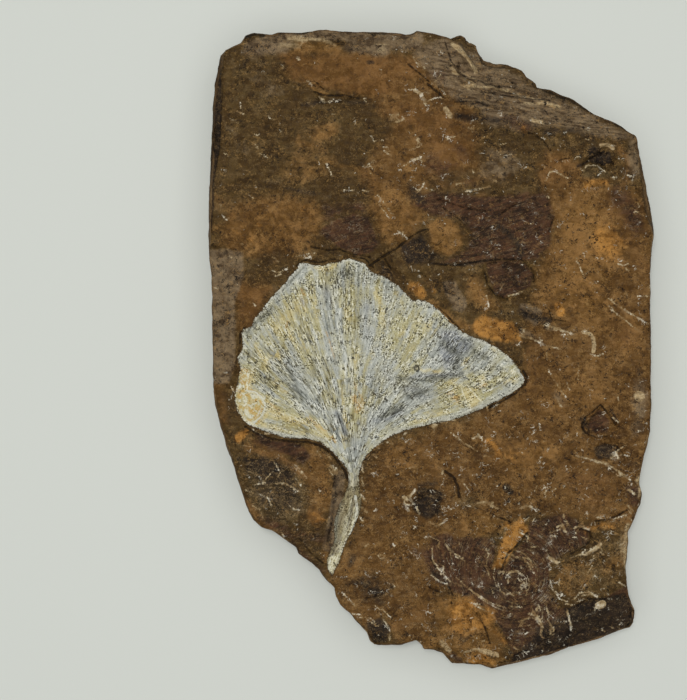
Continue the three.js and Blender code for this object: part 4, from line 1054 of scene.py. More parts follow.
class Wire:
    """A number that runs through a finish; a sum on it adds the node that works it out."""

    def __init__(self, finish, socket):
        self.finish = finish
        self.socket = socket

    def maths(self, operation, first, second):
        return self.finish.add("ShaderNodeMath", {"operation": operation}, {0: first, 1: second})

    def __add__(self, other):
        return self.maths("ADD", self, other)

    __radd__ = __add__

    def __sub__(self, other):
        return self.maths("SUBTRACT", self, other)

    def __rsub__(self, other):
        return self.maths("SUBTRACT", other, self)

    def __mul__(self, other):
        return self.maths("MULTIPLY", self, other)

    __rmul__ = __mul__


class Finish:
    """A material made of nodes, built from the object's own places in millimetres."""

    def __init__(self, name):
        self.material = bpy.data.materials.new(name)
        self.material.use_nodes = True
        self.tree = self.material.node_tree
        self.surface = self.tree.nodes["Principled BSDF"]
        place = self.add("ShaderNodeTexCoord", {}, {}, "Object")
        self.place = self.stretched(place, (1 / MILLIMETRE,) * 3)

    def add(self, kind, settings, sockets, output=0):
        """Any node: its settings first, then the values or wires of its sockets."""
        made = self.tree.nodes.new(kind)
        stops = settings.pop("stops", [])
        for name, value in settings.items():
            setattr(made, name, value)
        for number, (where, colour) in enumerate(stops):
            points = made.color_ramp.elements
            point = points[number] if number < 2 else points.new(where)
            point.position = where
            point.color = colour
        for name, value in sockets.items():
            self.feed(made.inputs[name], value)
        return Wire(self, made.outputs[output])

    def feed(self, socket, value):
        if isinstance(value, Wire):
            self.tree.links.new(value.socket, socket)
        else:
            socket.default_value = value

    def noted(self, name):
        """A number kept on the mesh."""
        return self.add("ShaderNodeAttribute", {"attribute_name": name}, {}, "Fac")

    def stretched(self, place, by):
        return self.add("ShaderNodeVectorMath", {"operation": "MULTIPLY"}, {0: place, 1: by})

    def mottle(self, place, per_mm, detail=3, roughness=0.55, distortion=0, output=0):
        """Cloudy noise around a half, with so many clouds to the millimetre."""
        return self.add("ShaderNodeTexNoise", {}, {
            "Vector": place, "Scale": per_mm, "Detail": detail, "Roughness": roughness,
            "Distortion": distortion,
        }, output)

    def torn(self, place, per_mm, detail, reach):
        """The same places pushed about, so that a pattern on them gets torn edges."""
        push = self.mottle(place, per_mm, detail, 0.6, output="Color")
        return self.add("ShaderNodeVectorMath", {"operation": "ADD"}, {
            0: place, 1: self.stretched(push, (reach, reach, 0.0)),
        })

    def cells(self, place, per_mm, output="Distance"):
        """Cells, so many to the millimetre: how far away the nearest middle is, or its colour."""
        return self.add("ShaderNodeTexVoronoi", {}, {"Vector": place, "Scale": per_mm}, output)

    def drawn_cells(self, place, per_mm):
        """A number from 0 to 1 drawn for each cell."""
        return self.add("ShaderNodeSeparateColor", {}, {0: self.cells(place, per_mm, "Color")})

    def between(self, value, low, high, to_low=0.0, to_high=1.0):
        """A smooth step from low to high."""
        return self.add("ShaderNodeMapRange", {"interpolation_type": "SMOOTHSTEP"}, {
            "Value": value, "From Min": low, "From Max": high, "To Min": to_low, "To Max": to_high,
        })

    def winding(self, value, thin, wide):
        """Thin winding lines, where a mottle passes a half."""
        away = self.add("ShaderNodeMath", {"operation": "ABSOLUTE"}, {0: value - 0.5})
        return self.between(away, thin, wide, 1.0, 0.0)

    def mix(self, under, over, share):
        """One colour over another."""
        return self.add("ShaderNodeMix", {"data_type": "RGBA"}, {0: share, 6: under, 7: over}, 2)

    def wash(self, value, stops):
        """A colour from a number."""
        stops = [(where, paint(*colour)) for where, colour in stops]
        return self.add("ShaderNodeValToRGB", {"stops": stops}, {0: value})

    def finish(self, **sockets):
        for name, value in sockets.items():
            self.feed(self.surface.inputs[name.replace("_", " ")], value)
        return self.material


shale = Finish("shale_stone")
place = shale.place
cloud = shale.mottle(place, 0.14, 4, 0.6, 0.8)
patch = shale.mottle(place, 0.5, 5, 0.62, 1.0)
grain = shale.mottle(place, 1.7, 4, 0.66, 0.6)
grit = shale.mottle(place, 4.6, 3, 0.65)
smear = shale.mottle(shale.stretched(place, (0.45, 1.5, 1.0)), 1.0, 4, 0.6, 0.8)
lie = shale.add("ShaderNodeCombineXYZ", {}, {
    0: shale.noted("lie_across") * 1.7, 1: shale.noted("lie_along") * 0.34, 2: 0.0,
})
streak = shale.mottle(lie, 1.0, 4, 0.65, 0.8)

# Flakes, chips and crumbs: thin layers with torn edges, each a little lighter or darker.
flake = shale.drawn_cells(shale.torn(place, 0.45, 5, 5.0), 0.24)
chipped = shale.torn(place, 1.3, 4, 2.0)
chip = shale.drawn_cells(chipped, 0.85)
crumb = shale.drawn_cells(chipped, 2.1)
tone = patch * 0.4 + cloud * 0.21 + smear * 0.16 + flake * 0.1 + chip * 0.13
cool = shale.wash(tone, [
    (0.36, (54, 37, 11)), (0.46, (68, 49, 20)), (0.54, (79, 60, 29)), (0.66, (98, 77, 45)),
])
warm = shale.wash(tone, [
    (0.36, (68, 44, 13)), (0.46, (88, 60, 24)), (0.54, (103, 73, 35)), (0.66, (130, 98, 57)),
])
warmed = shale.noted("warm") + (patch - 0.5) * 0.9 + (cloud - 0.5) * 0.6
colour = shale.mix(cool, warm, shale.between(warmed, 0.2, 0.8))

# The stains lie over one another in this order, each with a ragged edge. A row says its dark and
# its pale colour, how soft and how ragged its edge is, the tone that picks between the two
# colours, and how much of it shows.
streaked = tone + (streak - tone) * shale.noted("streaky") * 0.7
STAIN_LOOKS = {
    "olive": ((54, 41, 17), (94, 76, 45), 0.3, 0.9, tone, 0.9),
    "ochre": ((98, 68, 27), (140, 102, 55), 0.34, 1.2, tone, 0.9),
    "rust": ((92, 62, 25), (124, 88, 47), 0.34, 0.9, tone, 0.9),
    "slate_and_shade": ((74, 58, 40), (131, 111, 84), 0.26, 0.7, streaked, 0.9),
    "maroon": ((33, 19, 8), (82, 53, 33), 0.22, 0.8, tone * 0.5 + streak * 0.5, 0.95),
    "umber_and_shade": ((18, 12, 7), (46, 35, 25), 0.22, 0.9, tone, 0.95),
    "amber": ((114, 74, 24), (184, 130, 62), 0.36, 1.1, tone, 0.9),
    "sand": ((134, 109, 72), (194, 172, 132), 0.13, 0.3, grain * 0.5 + streak * 0.5, 0.9),
}
seen = {}
for stain, (dark, light, softness, ragged, by, most) in STAIN_LOOKS.items():
    share = shale.noted(stain)
    worn_edge = share + (patch - 0.5) * ragged + (cloud - 0.5) * ragged * 0.5 + (flake - 0.5) * 0.12
    seen[stain] = (
        shale.between(worn_edge, 0.5 - softness, 0.5 + softness) * shale.between(share, 0.0, 0.14)
    )
    own = shale.wash(by, [(0.42, dark), (0.58, light)])
    colour = shale.mix(colour, own, seen[stain] * most)

# Threads of pale mineral, and dark ones, follow the lie of the beds where the stone is maroon.
swirl = shale.noted("swirl") * seen["maroon"] * (1 - seen["umber_and_shade"] * 0.8)
thread = shale.winding(shale.mottle(lie, 1.0, 3, 0.6, 0.9), 0.009, 0.032)
thread = thread * shale.between(patch + (grain - 0.5) * 0.5 + swirl * 0.04, 0.5, 0.575) * swirl
dark_thread = shale.winding(streak, 0.01, 0.035) * shale.between(grain, 0.44, 0.56) * swirl

# Loose shreds, as thin curved hairs and flecks, and dark specks. Few pale ones lie in the upper
# left of the stone.
scatter = shale.noted("scatter")
hair = shale.winding(shale.mottle(place, 0.8, 2, 0.5, 0.9), 0.008, 0.022)
hair = hair * shale.between(shale.mottle(place, 0.7, 2, 0.6) + scatter * 0.06, 0.62, 0.68)
cell = shale.cells(place, 0.9)
drawn = shale.drawn_cells(place, 0.9)
gathered = shale.between(shale.mottle(place, 0.6, 3, 0.6), 0.4, 0.6)
fleck = shale.between(cell + (grit - 0.5) * 0.3, 0.06, 0.13, 1.0, 0.0)
fleck = fleck * shale.between(drawn + scatter * 0.05 + gathered * 0.06, 0.94, 0.96)
speck = shale.between(cell + (grit - 0.5) * 0.5, 0.04, 0.16, 1.0, 0.0)
speck = speck * shale.between(drawn, 0.08, 0.06)

# The shreds in the table are torn too, and thin out here and there.
shred = shale.noted("shred")
torn_shred = shred + (shale.mottle(place, 3.8, 2, 0.6) - 0.5) * (1.4 - scatter * 0.3)
shreds = shale.between(torn_shred, 0.4, 0.62) * shale.between(shred, 0.02, 0.25)
thinned = shale.mottle(place, 1.1, 2, 0.5) + scatter * 0.03
shreds = shreds * shale.between(thinned, 0.4, 0.56, 0.35, 1.0)
pale = shale.wash(shale.mottle(place, 0.7, 3), [
    (0.38, (130, 104, 68)), (0.47, (162, 140, 102)), (0.56, (194, 178, 146)),
    (0.66, (222, 214, 194)),
])

# Scratches and the edges of small flakes, as fine winding lines: the dark ones are painted shade
# along them, the pale ones painted glints.
lined = shale.noted("lined")
score_and_shade = shale.winding(shale.mottle(place, 1.1, 3, 0.6, 1.6), 0.004, 0.026)
score_and_shade = score_and_shade * shale.between(patch + (lined - 1) * 0.04, 0.44, 0.58)
glint = shale.winding(shale.mottle(place, 1.4, 3, 0.6, 1.4), 0.004, 0.02)
glint = glint * shale.between(smear + (lined - 1) * 0.05, 0.46, 0.6)

# Its grain, dark and pale; the rusty and maroon skins are the smoothest.
busy = shale.noted("busy") * (gathered * 1.25 + 0.35)
texture = grain * 0.42 + grit * 0.46 + crumb * 0.12

# The broken edge shows its thin beds, and the underside the plain stone, in colours painted lighter
# as light bounced up from the table.
beds = shale.mottle(shale.stretched(place, (0.12, 0.12, 1.5)), 1.0, 4, 0.65)
edge_beds_with_painted_light = shale.wash(beds * 0.7 + grain * 0.3, [
    (0.38, (52, 38, 22)), (0.47, (80, 60, 36)), (0.55, (112, 86, 54)), (0.64, (144, 120, 86)),
])
edge_seen = shale.between(shale.noted("broken") + (patch - 0.5) * 0.6, 0.35, 0.75)

# The cracks and the feet of ledges: cut in, and painted dark as their shade.
crack = shale.noted("crack")
torn_crack = crack + (shale.mottle(place, 1.5, 3, 0.6) - 0.5) * 0.8
crack_and_shade = shale.between(torn_crack, 0.38, 0.7) * shale.between(crack, 0.05, 0.3)

for over, share in (
    (pale, thread * 0.85),
    (paint(24, 14, 6), dark_thread * 0.5),
    (pale, hair * 0.6),
    (pale, fleck * 0.8),
    (paint(16, 9, 2), speck * (0.5 - shale.noted("ochre") * 0.4)),
    (paint(12, 6, 0), score_and_shade * 0.5 * lined),
    (paint(164, 138, 98), glint * 0.36 * lined),
    (paint(10, 4, 0), shale.between(texture, 0.49, 0.37) * 0.5 * busy),
    (paint(156, 122, 74), shale.between(texture, 0.52, 0.64) * 0.3 * busy),
    (pale, shreds * 0.9),
    (edge_beds_with_painted_light, edge_seen * 0.75),
    (paint(20, 12, 6), crack_and_shade * 0.85),
):
    colour = shale.mix(colour, over, share)

relief = (patch * 0.5 + grain * 0.45 + grit * 0.22) * (busy * 0.5 + 0.5) + flake * 0.25
relief = relief + (shreds + fleck + hair) * 0.12 - (crack_and_shade + dark_thread * 0.3) * 0.4
rock.data.materials.append(shale.finish(
    Base_Color=colour,
    Roughness=shale.between(grain, 0.3, 0.7, 0.62, 0.85),
    Normal=shale.add("ShaderNodeBump", {}, {
        "Strength": 0.6, "Distance": 0.0004, "Height": relief,
    }, "Normal"),
    Specular_IOR_Level=0.15,
))
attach(rock, "root")
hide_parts("rock_slab")


# ---------------------------------------------------------------------------------------------
# The ginkgo leaf: a pale mineral film that took the leaf's place, a fan-shaped blade with its
# stalk and with fine veins that fork outwards. It lies in its bed in the stone, about a quarter
# of a millimetre proud of it, with its left lobe curled over and one fold above it.

LEAF_STEP = 0.135                  # between places of its upper side
LEAF_CLEARANCE = 0.08
LEAF_RISE = 0.26
LEAF_FLOOR = 10.2                  # its underside in the bed
BLADE_LENGTH = 27                  # along a middle vein
SIDE_PULL = 1.6                    # how fast the side edges' bend fades towards the middle
FAN_ACROSS = 150                   # steps of the net across the fan, and along its veins
FAN_ALONG = 50
STALK_ACROSS = 8
STALK_ALONG = 40
STALK_LENGTH = 0.65                # of the blade's


def along_curve(points, count):
    """A smooth line through the points as a given number of even places."""
    path = curve(points, 0.05)
    return path[np.linspace(0, len(path) - 1, count).round().astype(int)]


# The fan: lines across from the foot to the margin, and the stalk below it, kept as a flat net.
across, along = np.meshgrid(
    np.linspace(0, 1, FAN_ACROSS + 1), np.linspace(0, 1, FAN_ALONG + 1), indexing="ij"
)
left_side = along_curve(LEAF_LEFT_EDGE, FAN_ALONG + 1)
right_side = along_curve(LEAF_RIGHT_EDGE, FAN_ALONG + 1)
margin = along_curve(LEAF_MARGIN, FAN_ACROSS + 1)
reach = np.linspace(0, 1, FAN_ALONG + 1)[:, None]
left_bend = left_side - (left_side[0] * (1 - reach) + left_side[-1] * reach)
right_bend = right_side - (right_side[0] * (1 - reach) + right_side[-1] * reach)
foot = left_side[0] * (1 - across[..., None]) + right_side[0] * across[..., None]
blade = foot * (1 - along[..., None]) + margin[:, None] * along[..., None]
blade = blade + left_bend[None] * ((1 - across) ** SIDE_PULL)[..., None]
blade = blade + right_bend[None] * (across ** SIDE_PULL)[..., None]

stalk_left = along_curve(STALK_LEFT, STALK_ALONG + 1)
stalk_right = along_curve(STALK_RIGHT, STALK_ALONG + 1)
stalk_across, stalk_along = np.meshgrid(
    np.linspace(0, 1, STALK_ACROSS + 1), np.linspace(0, -STALK_LENGTH, STALK_ALONG + 1),
    indexing="ij",
)
right_share = stalk_across[..., None]
stalk_net = stalk_left[None] * (1 - right_share) + stalk_right[None] * right_share

fan_places = np.concatenate([blade.reshape(-1, 2), stalk_net.reshape(-1, 2)])
fan_across = np.concatenate([across.ravel(), stalk_across.ravel()])
fan_along = np.concatenate([along.ravel(), stalk_along.ravel()])


def grid_triangles(rows, columns, first):
    made = []
    for i in range(rows - 1):
        for j in range(columns - 1):
            a = first + i * columns + j
            made.append((a, a + 1, a + columns))
            made.append((a + 1, a + columns + 1, a + columns))
    return made


fan_triangles = grid_triangles(FAN_ACROSS + 1, FAN_ALONG + 1, 0)
fan_triangles += grid_triangles(STALK_ACROSS + 1, STALK_ALONG + 1, across.size)
fan_tree = BVHTree.FromPolygons([(px, py, 0) for px, py in fan_places], fan_triangles)


def on_fan(x, y):
    """Each place's share of the way across the fan, and along its veins."""
    corners = []
    for px, py in zip(x, y):
        corners.append(fan_triangles[fan_tree.find_nearest(Vector((px, py, 0)))[2]])
    corners = np.array(corners)
    a, b, c = (fan_places[corners[:, k]] for k in range(3))
    ab = b - a
    ac = c - a
    ap = np.stack([x, y], 1) - a
    whole = ab[:, 0] * ac[:, 1] - ab[:, 1] * ac[:, 0]
    whole = np.where(np.abs(whole) < 1e-9, 1e-9, whole)
    s = np.clip((ap[:, 0] * ac[:, 1] - ap[:, 1] * ac[:, 0]) / whole, 0, 1)
    t = np.clip((ab[:, 0] * ap[:, 1] - ab[:, 1] * ap[:, 0]) / whole, 0, 1)
    share = np.stack([1 - s - t, s, t], 1)
    return (fan_across[corners] * share).sum(1), (fan_along[corners] * share).sum(1)


# Marks on the film, as rows like the stains'.
FILM_MARKS = {
    "yellow": [
        (0, 0.4, 0.85, -32.4,-8.6, -31.8,-5.4, -30.8,-3.2, -29.4,-3.8, -29.9,-6.4, -28,-7.8,
         -27.3,-9.6, -28,-11.6, -30,-12.4, -31.8,-10.9),
        (0.7, 0.6, 0.8, -27.6,-8.6, -26.2,-10.6, -22.6,-12, -19.6,-12.6, -17.2,-14.6),
        (0.8, 0.8, 0.55, -27.6,-12.8, -22,-14, -18.4,-14.6),
        (1.7, 1.6, 0.55, -26,3.6, -23,6.4, -21.4,8), (0.8, 0.9, 0.5, -23.8,4.6, -23.4,1.8),
        (0.8, 0.8, 0.5, -22,2, -21,0), (0.4, 0.4, 0.75, -19.4,13.6, -17.4,13.3, -15.8,14.1),
        (0.7, 0.8, 0.55, -14.4,7.4, -13.6,4.6), (0.6, 0.7, 0.55, -9.2,9.4, -8,6, -7.6,2),
        (0.7, 0.9, 0.45, -19.6,10, -19,5), (0.7, 0.8, 0.5, -5.6,9, -4.6,6.4),
        (1, 1.2, 0.45, -2.6,5, 0.4,3), (1, 1.2, 0.45, -4.6,2.6, -3.4,-0.4),
        (1, 1, 0.4, -13,-2.6, -12,-1), (0.4, 0.6, 0.5, -9.4,-0.6, -10.4,-4),
        (0.6, 0.6, 0.5, 9.6,0.4, 11,-0.4), (0.7, 0.6, 0.7, 8.8,-5, 7.4,-6.6),
        (0.9, 0.7, 0.9, 6,-7, 7.4,-8.8, 6.8,-9.6), (0.5, 0.6, 0.6, 5.4,-2.6, 5.8,-1.8),
        (0.5, 0.6, 0.6, 12,-5.6, 14,-5.2), (0.5, 0.7, 0.6, 3,-10.4, -0.6,-11),
        (0.25, 0.4, 0.75, -2.6,-11.9, 0.4,-11.8, 3,-12), (1, 1, 0.5, 4,-5.6, 4.6,-9),
        (0.3, 0.4, 0.7, 0.4,-3.6, 1.2,-4), (0.35, 0.5, 0.6, -15,-6.6, -14.6,-9, -14,-13),
        (0.35, 0.5, 0.7, -13,-26.6, -12.4,-28.6, -13.4,-31, -14.6,-33.6),
        (0.7, 0.7, 0.45, -14.2,-30, -15.4,-33.4), (0.5, 0.4, 0.6, -16.8,-34.8, -16,-36),
        (0.4, 0.6, 0.5, -27,1, -25.4,-1.6),
        (0.35, 0.4, 0.9, -27.3,-8, -26.9,-9.8, -27.6,-11.4, -28.8,-12.4),
        (0.5, 0.6, 0.7, -29.4,-3.2, -30,-6), (0.5, 0.6, 0.6, -29.2,0.6, -28,-1.6, -26.6,-2.6),
        (0.3, 0.5, 0.7, -26,-5.4, -24,-7.2),
        (0, 0.3, 1.0, 5.4,-6.4, 6.2,-6.4, 8,-8.5, 6.1,-8.9, 5.5,-7.6),
        (0.9, 0.9, 0.55, -27.6,-2.6, -25.6,-1), (0.8, 0.9, 0.5, -16,-13.2, -14.4,-15),
        (0.9, 0.7, 0.85, -27.4,-9, -25.8,-11),
    ],
    "orange": [
        (0.12, 0.45, 0.85, -14.1,-5.5, -13.4,-7, -12.7,-8.6, -12.5,-10.6),
        (0.1, 0.45, 0.75, -13,-5.4, -12,-7.4, -11.3,-8.8, -11.4,-10.6),
        (0.55, 0.6, 0.75, -12.9,-8, -12,-9.6), (0.1, 0.25, 0.9, -17.4,2.8, -16.7,0.6, -16.1,-1.6),
        (0.13, 0.25, 0.9, -21.7,10, -21.1,9), (0.2, 0.3, 0.7, -24.2,3.6, -23.8,4.6),
        (0.16, 0.3, 0.9, -16.6,-14.6, -16,-15.4),
        (0.14, 0.35, 0.75, -20.8,-11, -19.2,-12.6, -17.4,-13.6),
        (0.2, 0.4, 0.6, -31.8,-8, -30.6,-9.4, -29.2,-8.6), (0.16, 0.3, 0.7, -31.2,-6, -30.4,-4.8),
        (0.5, 0.5, 0.65, 3.2,-7.4, 4.2,-8.4), (0.25, 0.4, 0.7, 8,-6.2, 9,-5.8),
        (0.16, 0.35, 0.7, -26.8,-9, -25.2,-10.4),
    ],
    "blue": [
        (0, 0.8, 0.9, 1.6,3, 4,3.2, 7,1, 6.4,-0.4, 5,-0.9, 4.4,-3, 2.4,-3.2, 1.2,-0.6),
        (0.3, 0.4, 0.85, -3.4,-4.7, 0,-4.4, 2,-4.4, 5,-4.2),
        (0.6, 0.8, 0.55, -10.6,7, -11.2,5.4, -10.8,2.4), (0.35, 0.6, 0.6, -7,6.4, -7.2,4),
        (0.9, 1, 0.5, -17.6,10, -17,7.6), (0.4, 0.5, 0.6, -21.6,8.4, -21.2,7.6),
        (0.4, 0.5, 0.85, -15.8,-10.6, -14.8,-12.6, -14.2,-14),
        (0.6, 0.7, 0.6, -12,-12.4, -11,-13.6), (0.5, 0.6, 0.75, -10,-12, -7.4,-11.6, -5,-10.4),
        (0.7, 0.8, 0.4, -24,-2, -22,-6.4), (1, 1.2, 0.6, -4,-6.6, -1,-8),
        (1.1, 1.4, 0.4, 8.4,0.4, 11,-3), (1, 1.2, 0.5, -8,-3.4, -6,-6),
        (0.5, 0.7, 0.55, -13,-14.6, -12.6,-18), (0.35, 0.6, 0.8, -15.6,-23, -15.4,-27, -16,-30),
        (0.4, 0.5, 0.5, -14.2,-23.4, -13.2,-21.4), (0.35, 0.4, 0.9, 15,-3.4, 15.6,-5),
        (0.4, 0.6, 0.5, -14.6,-26, -14.8,-29),
    ],
    "rim": [
        (0.7, 0.5, 0.9, -26,9.2, -24,11.6, -21.6,14), (0.4, 0.5, 0.6, -28.6,6, -26,9.2),
        (0.5, 0.4, 0.9, 0,-12, 4,-11.2, 8,-9.6, 12,-7.7, 14.2,-6.2),
        (0.35, 0.4, 0.8, 3.6,3.7, 6.2,2, 9.2,0.8),
        (0.3, 0.35, 0.8, -28,-13.3, -24,-14.4, -20,-14.7),
        (0.4, 0.4, 0.7, -9.4,-15.8, -4.6,-13.4, -1.4,-12.8),
        (0.25, 0.4, 0.5, -22.6,-11.4, -18.6,-14), (0.35, 0.4, 0.8, -20.6,-14.2, -17.6,-15.2),
    ],
    "shadow": [
        (0.35, 0.6, 0.9, -6,-4.8, -2,-5.1, 2,-4.7, 5,-4.2), (0.5, 0.6, 0.8, -4,-7.6, -1,-7.2),
        (0.5, 0.6, 0.9, -8.4,-11.2, -5,-9.8), (0.8, 0.9, 0.8, 2,1, 4.4,-1, 4,-3),
        (0.5, 0.7, 0.7, 5,1.6, 7,0), (0.3, 0.5, 0.6, -12.2,6, -11.2,1.6),
        (0.5, 0.8, 0.7, -26,-3, -22,-7.6), (0.5, 0.8, 0.6, -29.6,-3, -27.6,-5),
        (0.35, 0.5, 0.8, -30.6,3, -27.4,6.2), (0.4, 0.7, 0.5, -21,-5, -18.4,-8),
        (0.3, 0.6, 0.9, -14.3,-22, -15.2,-25, -15.8,-29, -15.9,-32),
        (0.2, 0.4, 0.7, -14,-14, -13.4,-19), (0.25, 0.4, 0.7, -15.4,-11, -14.6,-14),
        (0.3, 0.6, 0.6, 10,-6.4, 12.6,-5.8), (0.2, 0.4, 0.7, 5.6,-6, 9,-6.6),
        (0.1, 0.3, 0.8, -12.8,-26.4, -12.9,-28),
        (0.25, 0.4, 0.9, -23.8,-3.2, -22.4,-6.2, -21.4,-8.6), (0.3, 0.5, 0.8, -24.6,-4.6, -22.4,-8),
        (0.5, 0.6, 0.8, -28.2,4.6, -26.4,6.6), (0.7, 0.8, 0.7, -15,12.4, -13,12.4),
        (0.3, 0.5, 0.8, 2.4,-2.2, 4.6,-2.6), (0.25, 0.5, 0.75, -19.8,-1.4, -18.8,-4.6),
        (0.5, 0.7, 0.6, 7,-0.6, 9.6,-0.8),
        (0.5, 0.5, 1.0, -15.2,-23.4, -16,-27, -16.5,-31, -17,-33),
        (0.22, 0.3, 0.95, -24.6,10, -23,11.6, -21.2,13.6), (0.3, 0.4, 0.8, -14.6,-19, -14.9,-22),
        (0.6, 0.7, 0.8, 7.2,-0.6, 9.2,-1.4), (0.3, 0.35, 0.9, -23.4,11.2, -21.8,13.1),
    ],
    "cream": [
        (0.4, 0.3, 1.0, -12.5,-26.6, -12.7,-28.6, -13.4,-31, -14.6,-33.4, -15.8,-35),
        (0.25, 0.4, 0.65, -13.3,-25, -13.6,-28, -14.2,-31), (0.3, 0.5, 0.55, -13.6,-19, -13,-23),
        (0, 0.3, 1.0, -17,-34.4, -16,-34.2, -15.3,-35.4, -16,-37.6, -17.3,-36.6),
        (0.3, 0.3, 1.0, -30.5,-7, -29.2,-7.3, -28,-8.2, -27.5,-9.8, -28.4,-11.4),
        (0.3, 0.35, 0.9, -29.6,-12.6, -31.2,-11.9, -32.2,-10.4, -32.4,-8.6),
        (0.2, 0.3, 0.9, -30.4,-4, -30.6,-6.6), (0.25, 0.4, 0.7, -30.8,-8.6, -30.4,-10.6),
        (0.4, 0.3, 0.9, 13.5,-3.8, 13.7,-3.9), (0.4, 0.4, 0.8, -1.8,-3.4, -1,-3.7, -0.2,-3.4),
        (0.12, 0.12, 1.0, 4.9,-6.1, 5.3,-7.4, 5.9,-8.9),
        (0.12, 0.12, 1.0, 5.9,-5.9, 6.9,-7.2, 8.3,-8.7), (0.16, 0.1, 1.0, -2.55,-3.1, -2.5,-3.35),
        (0.5, 0.5, 0.6, -13.8,-28, -14.6,-31.4, -15.2,-33.6),
    ],
    "crease_and_shade": [
        # Creases: cut into the film, and painted dark as their shade.
        (0.09, 0.3, 0.85, 0,2.1, 0.8,3.4, 1.8,4.4),
        (0.1, 0.3, 0.9, -1,1.7, -0.7,0.2, -0.5,-0.8, -0.9,-1.8),
        (0.09, 0.3, 0.8, -24.2,-3, -22.9,-5.6, -21.9,-7.6), (0.12, 0.3, 0.8, -14.2,9.4, -14.2,7.2),
        (0.1, 0.3, 0.8, -13.4,9.8, -13.4,7.6), (0.09, 0.3, 0.8, -12.7,9.2, -12.6,6.2),
        (0.11, 0.25, 0.9, 5.9,-6.1, 6.2,-6.6), (0.1, 0.25, 0.9, -3.2,-7.4, -2.5,-7.7, -1.9,-7.3),
        (0.12, 0.35, 0.9, -6.6,-11, -5.4,-10.4, -4.6,-9.8),
        (0.16, 0.35, 0.9, -15.6,-10.8, -15,-12.4, -14.6,-13.8),
        (0.12, 0.25, 0.9, -12.6,-26.4, -12.9,-28.2), (0.14, 0.25, 0.9, -15.6,-36.4, -16.2,-35.4),
        (0.2, 0.4, 0.7, -13.6,12, -13.6,11.4), (0.12, 0.35, 0.8, 0.2,-5, 2.6,-4.6),
        (0.1, 0.3, 0.8, 4.4,0.8, 5.6,0.8, 6.8,0.4), (0.1, 0.35, 0.75, -25.4,8, -23,11, -20.9,13.2),
        (0.16, 0.4, 0.8, -28.4,5, -26.4,7), (0.2, 0.4, 0.8, -30.6,3, -29.4,4.4),
        (0.2, 0.5, 0.6, -16,-22, -16.2,-26), (0.12, 0.35, 0.7, -3.8,-5, -1,-4.8),
        (0.12, 0.3, 0.85, -25.4,8, -24.2,8.6, -23.2,9),
        (0.12, 0.3, 0.85, -14.6,13.6, -13.8,13, -14.6,12, -13.6,12.6),
        (0.1, 0.3, 0.8, -17.6,13.2, -16.8,12.6, -16.6,11.8),
        (0.08, 0.3, 0.8, 3.2,0.4, 3.8,-0.6, 3.4,-1.6, 2.4,-2.4),
        (0.1, 0.3, 0.8, 4.4,-1, 4.8,-1.6, 4,-2.4),
        (0.1, 0.3, 0.7, -24.6,-3.6, -23.6,-5, -22.6,-6.4), (0.08, 0.3, 0.8, -18.8,-5, -17.8,-6.6),
        (0.07, 0.3, 0.75, 1,-11.1, 5,-9.9, 9,-8.3, 12.4,-6.6),
        (0.1, 0.3, 0.8, -26.2,-9.6, -24.6,-10.1, -23.4,-10.6),
        (0.1, 0.25, 0.9, -13,-24.6, -13.3,-27, -13.9,-29.4),
        (0.1, 0.2, 1.0, -2.5,-2.9, -2.55,-3.4, -2.2,-3.8),
        (0.1, 0.25, 0.9, -3.4,-4.8, -1.6,-5.3, 0.2,-5.2),
        (0.09, 0.25, 0.9, 0.4,-4.7, 2.4,-4.3, 4.4,-4.4), (0.08, 0.25, 0.9, 0.2,2, 1.2,3.3, 2.2,4.2),
        (0.15, 0.12, 1.0, -2.45,-2.75, -2.1,-2.95, -2.05,-3.45, -2.35,-3.75),
        (0.12, 0.12, 1.0, -2.45,-2.75, -2.8,-3.1, -2.75,-3.5),
    ],
}
# Raised lines on the film, as a half width, a rise and places: the curled lobe's rims, the fold
# and small ridges.
FILM_RIDGES = [
    (0.14, 0.22, -30.6,-6.9, -29.4,-7.1, -28.2,-7.9, -27.5,-9.5, -28.2,-11.1, -29.4,-12.2),
    (0.12, 0.14, -30.5,-4, -30.3,-5.4, -30.1,-6.6),
    (0.15, 0.16, -27.6,-8, -28.6,-10.6, -29.2,-11.4),
    (0.17, 0.1, -27.4,-10, -25.6,-10.5, -23.4,-11.4, -21.3,-12.5, -18.6,-14),
    (0.2, 0.12, -22.6,-11.4, -19.4,-13, -17,-15.4), (0.14, 0.12, 5,-6.4, 5.2,-7.6, 5.9,-8.8),
    (0.14, 0.1, 6,-6.2, 7,-7.4, 8,-8.4), (0.16, 0.1, -2.2,-2.9, -1.9,-3.3, -2,-3.7),
    (0.45, 0.12, 13.4,-3.8, 13.7,-3.9), (0.2, 0.12, -16.8,-35.2, -17,-36.8),
    (0.3, 0.16, -12.6,-24.4, -12.3,-27, -12.8,-29.4, -13.8,-31.8, -14.8,-34),
    (0.25, 0.1, -16,-33.6, -16.8,-35, -16.9,-37), (0.16, 0.1, -2,-4, -0.6,-3.6),
    (0.25, 0.08, -21.6,13.6, -25.6,8.8), (0.2, 0.08, 3,-11.7, 9,-8.9, 13.6,-6.4),
    (0.14, 0.16, -24.9,10.4, -23.4,12, -21.6,14.2),
    (0.2, 0.14, -27,8.4, -25,9.2, -23.4,10.6, -21.6,12.4, -20,13.4),
    (0.12, 0.18, -32.5,-9.8, -32,-11.2, -31,-12.2, -29.8,-12.7),
    (0.14, 0.16, -15.8,14.6, -13.4,14.8, -11.4,14.2),
    (0.14, 0.16, -28.6,-13.2, -26.4,-14, -23.4,-14.5, -20,-14.8),
    (0.12, 0.14, 6.4,1.6, 8.4,1.2, 10.4,0.6, 12.6,-0.8, 14,-2.4),
    (0.12, 0.12, 4.6,-11, 7.6,-9.8, 10.6,-8.6, 13.4,-7),
]

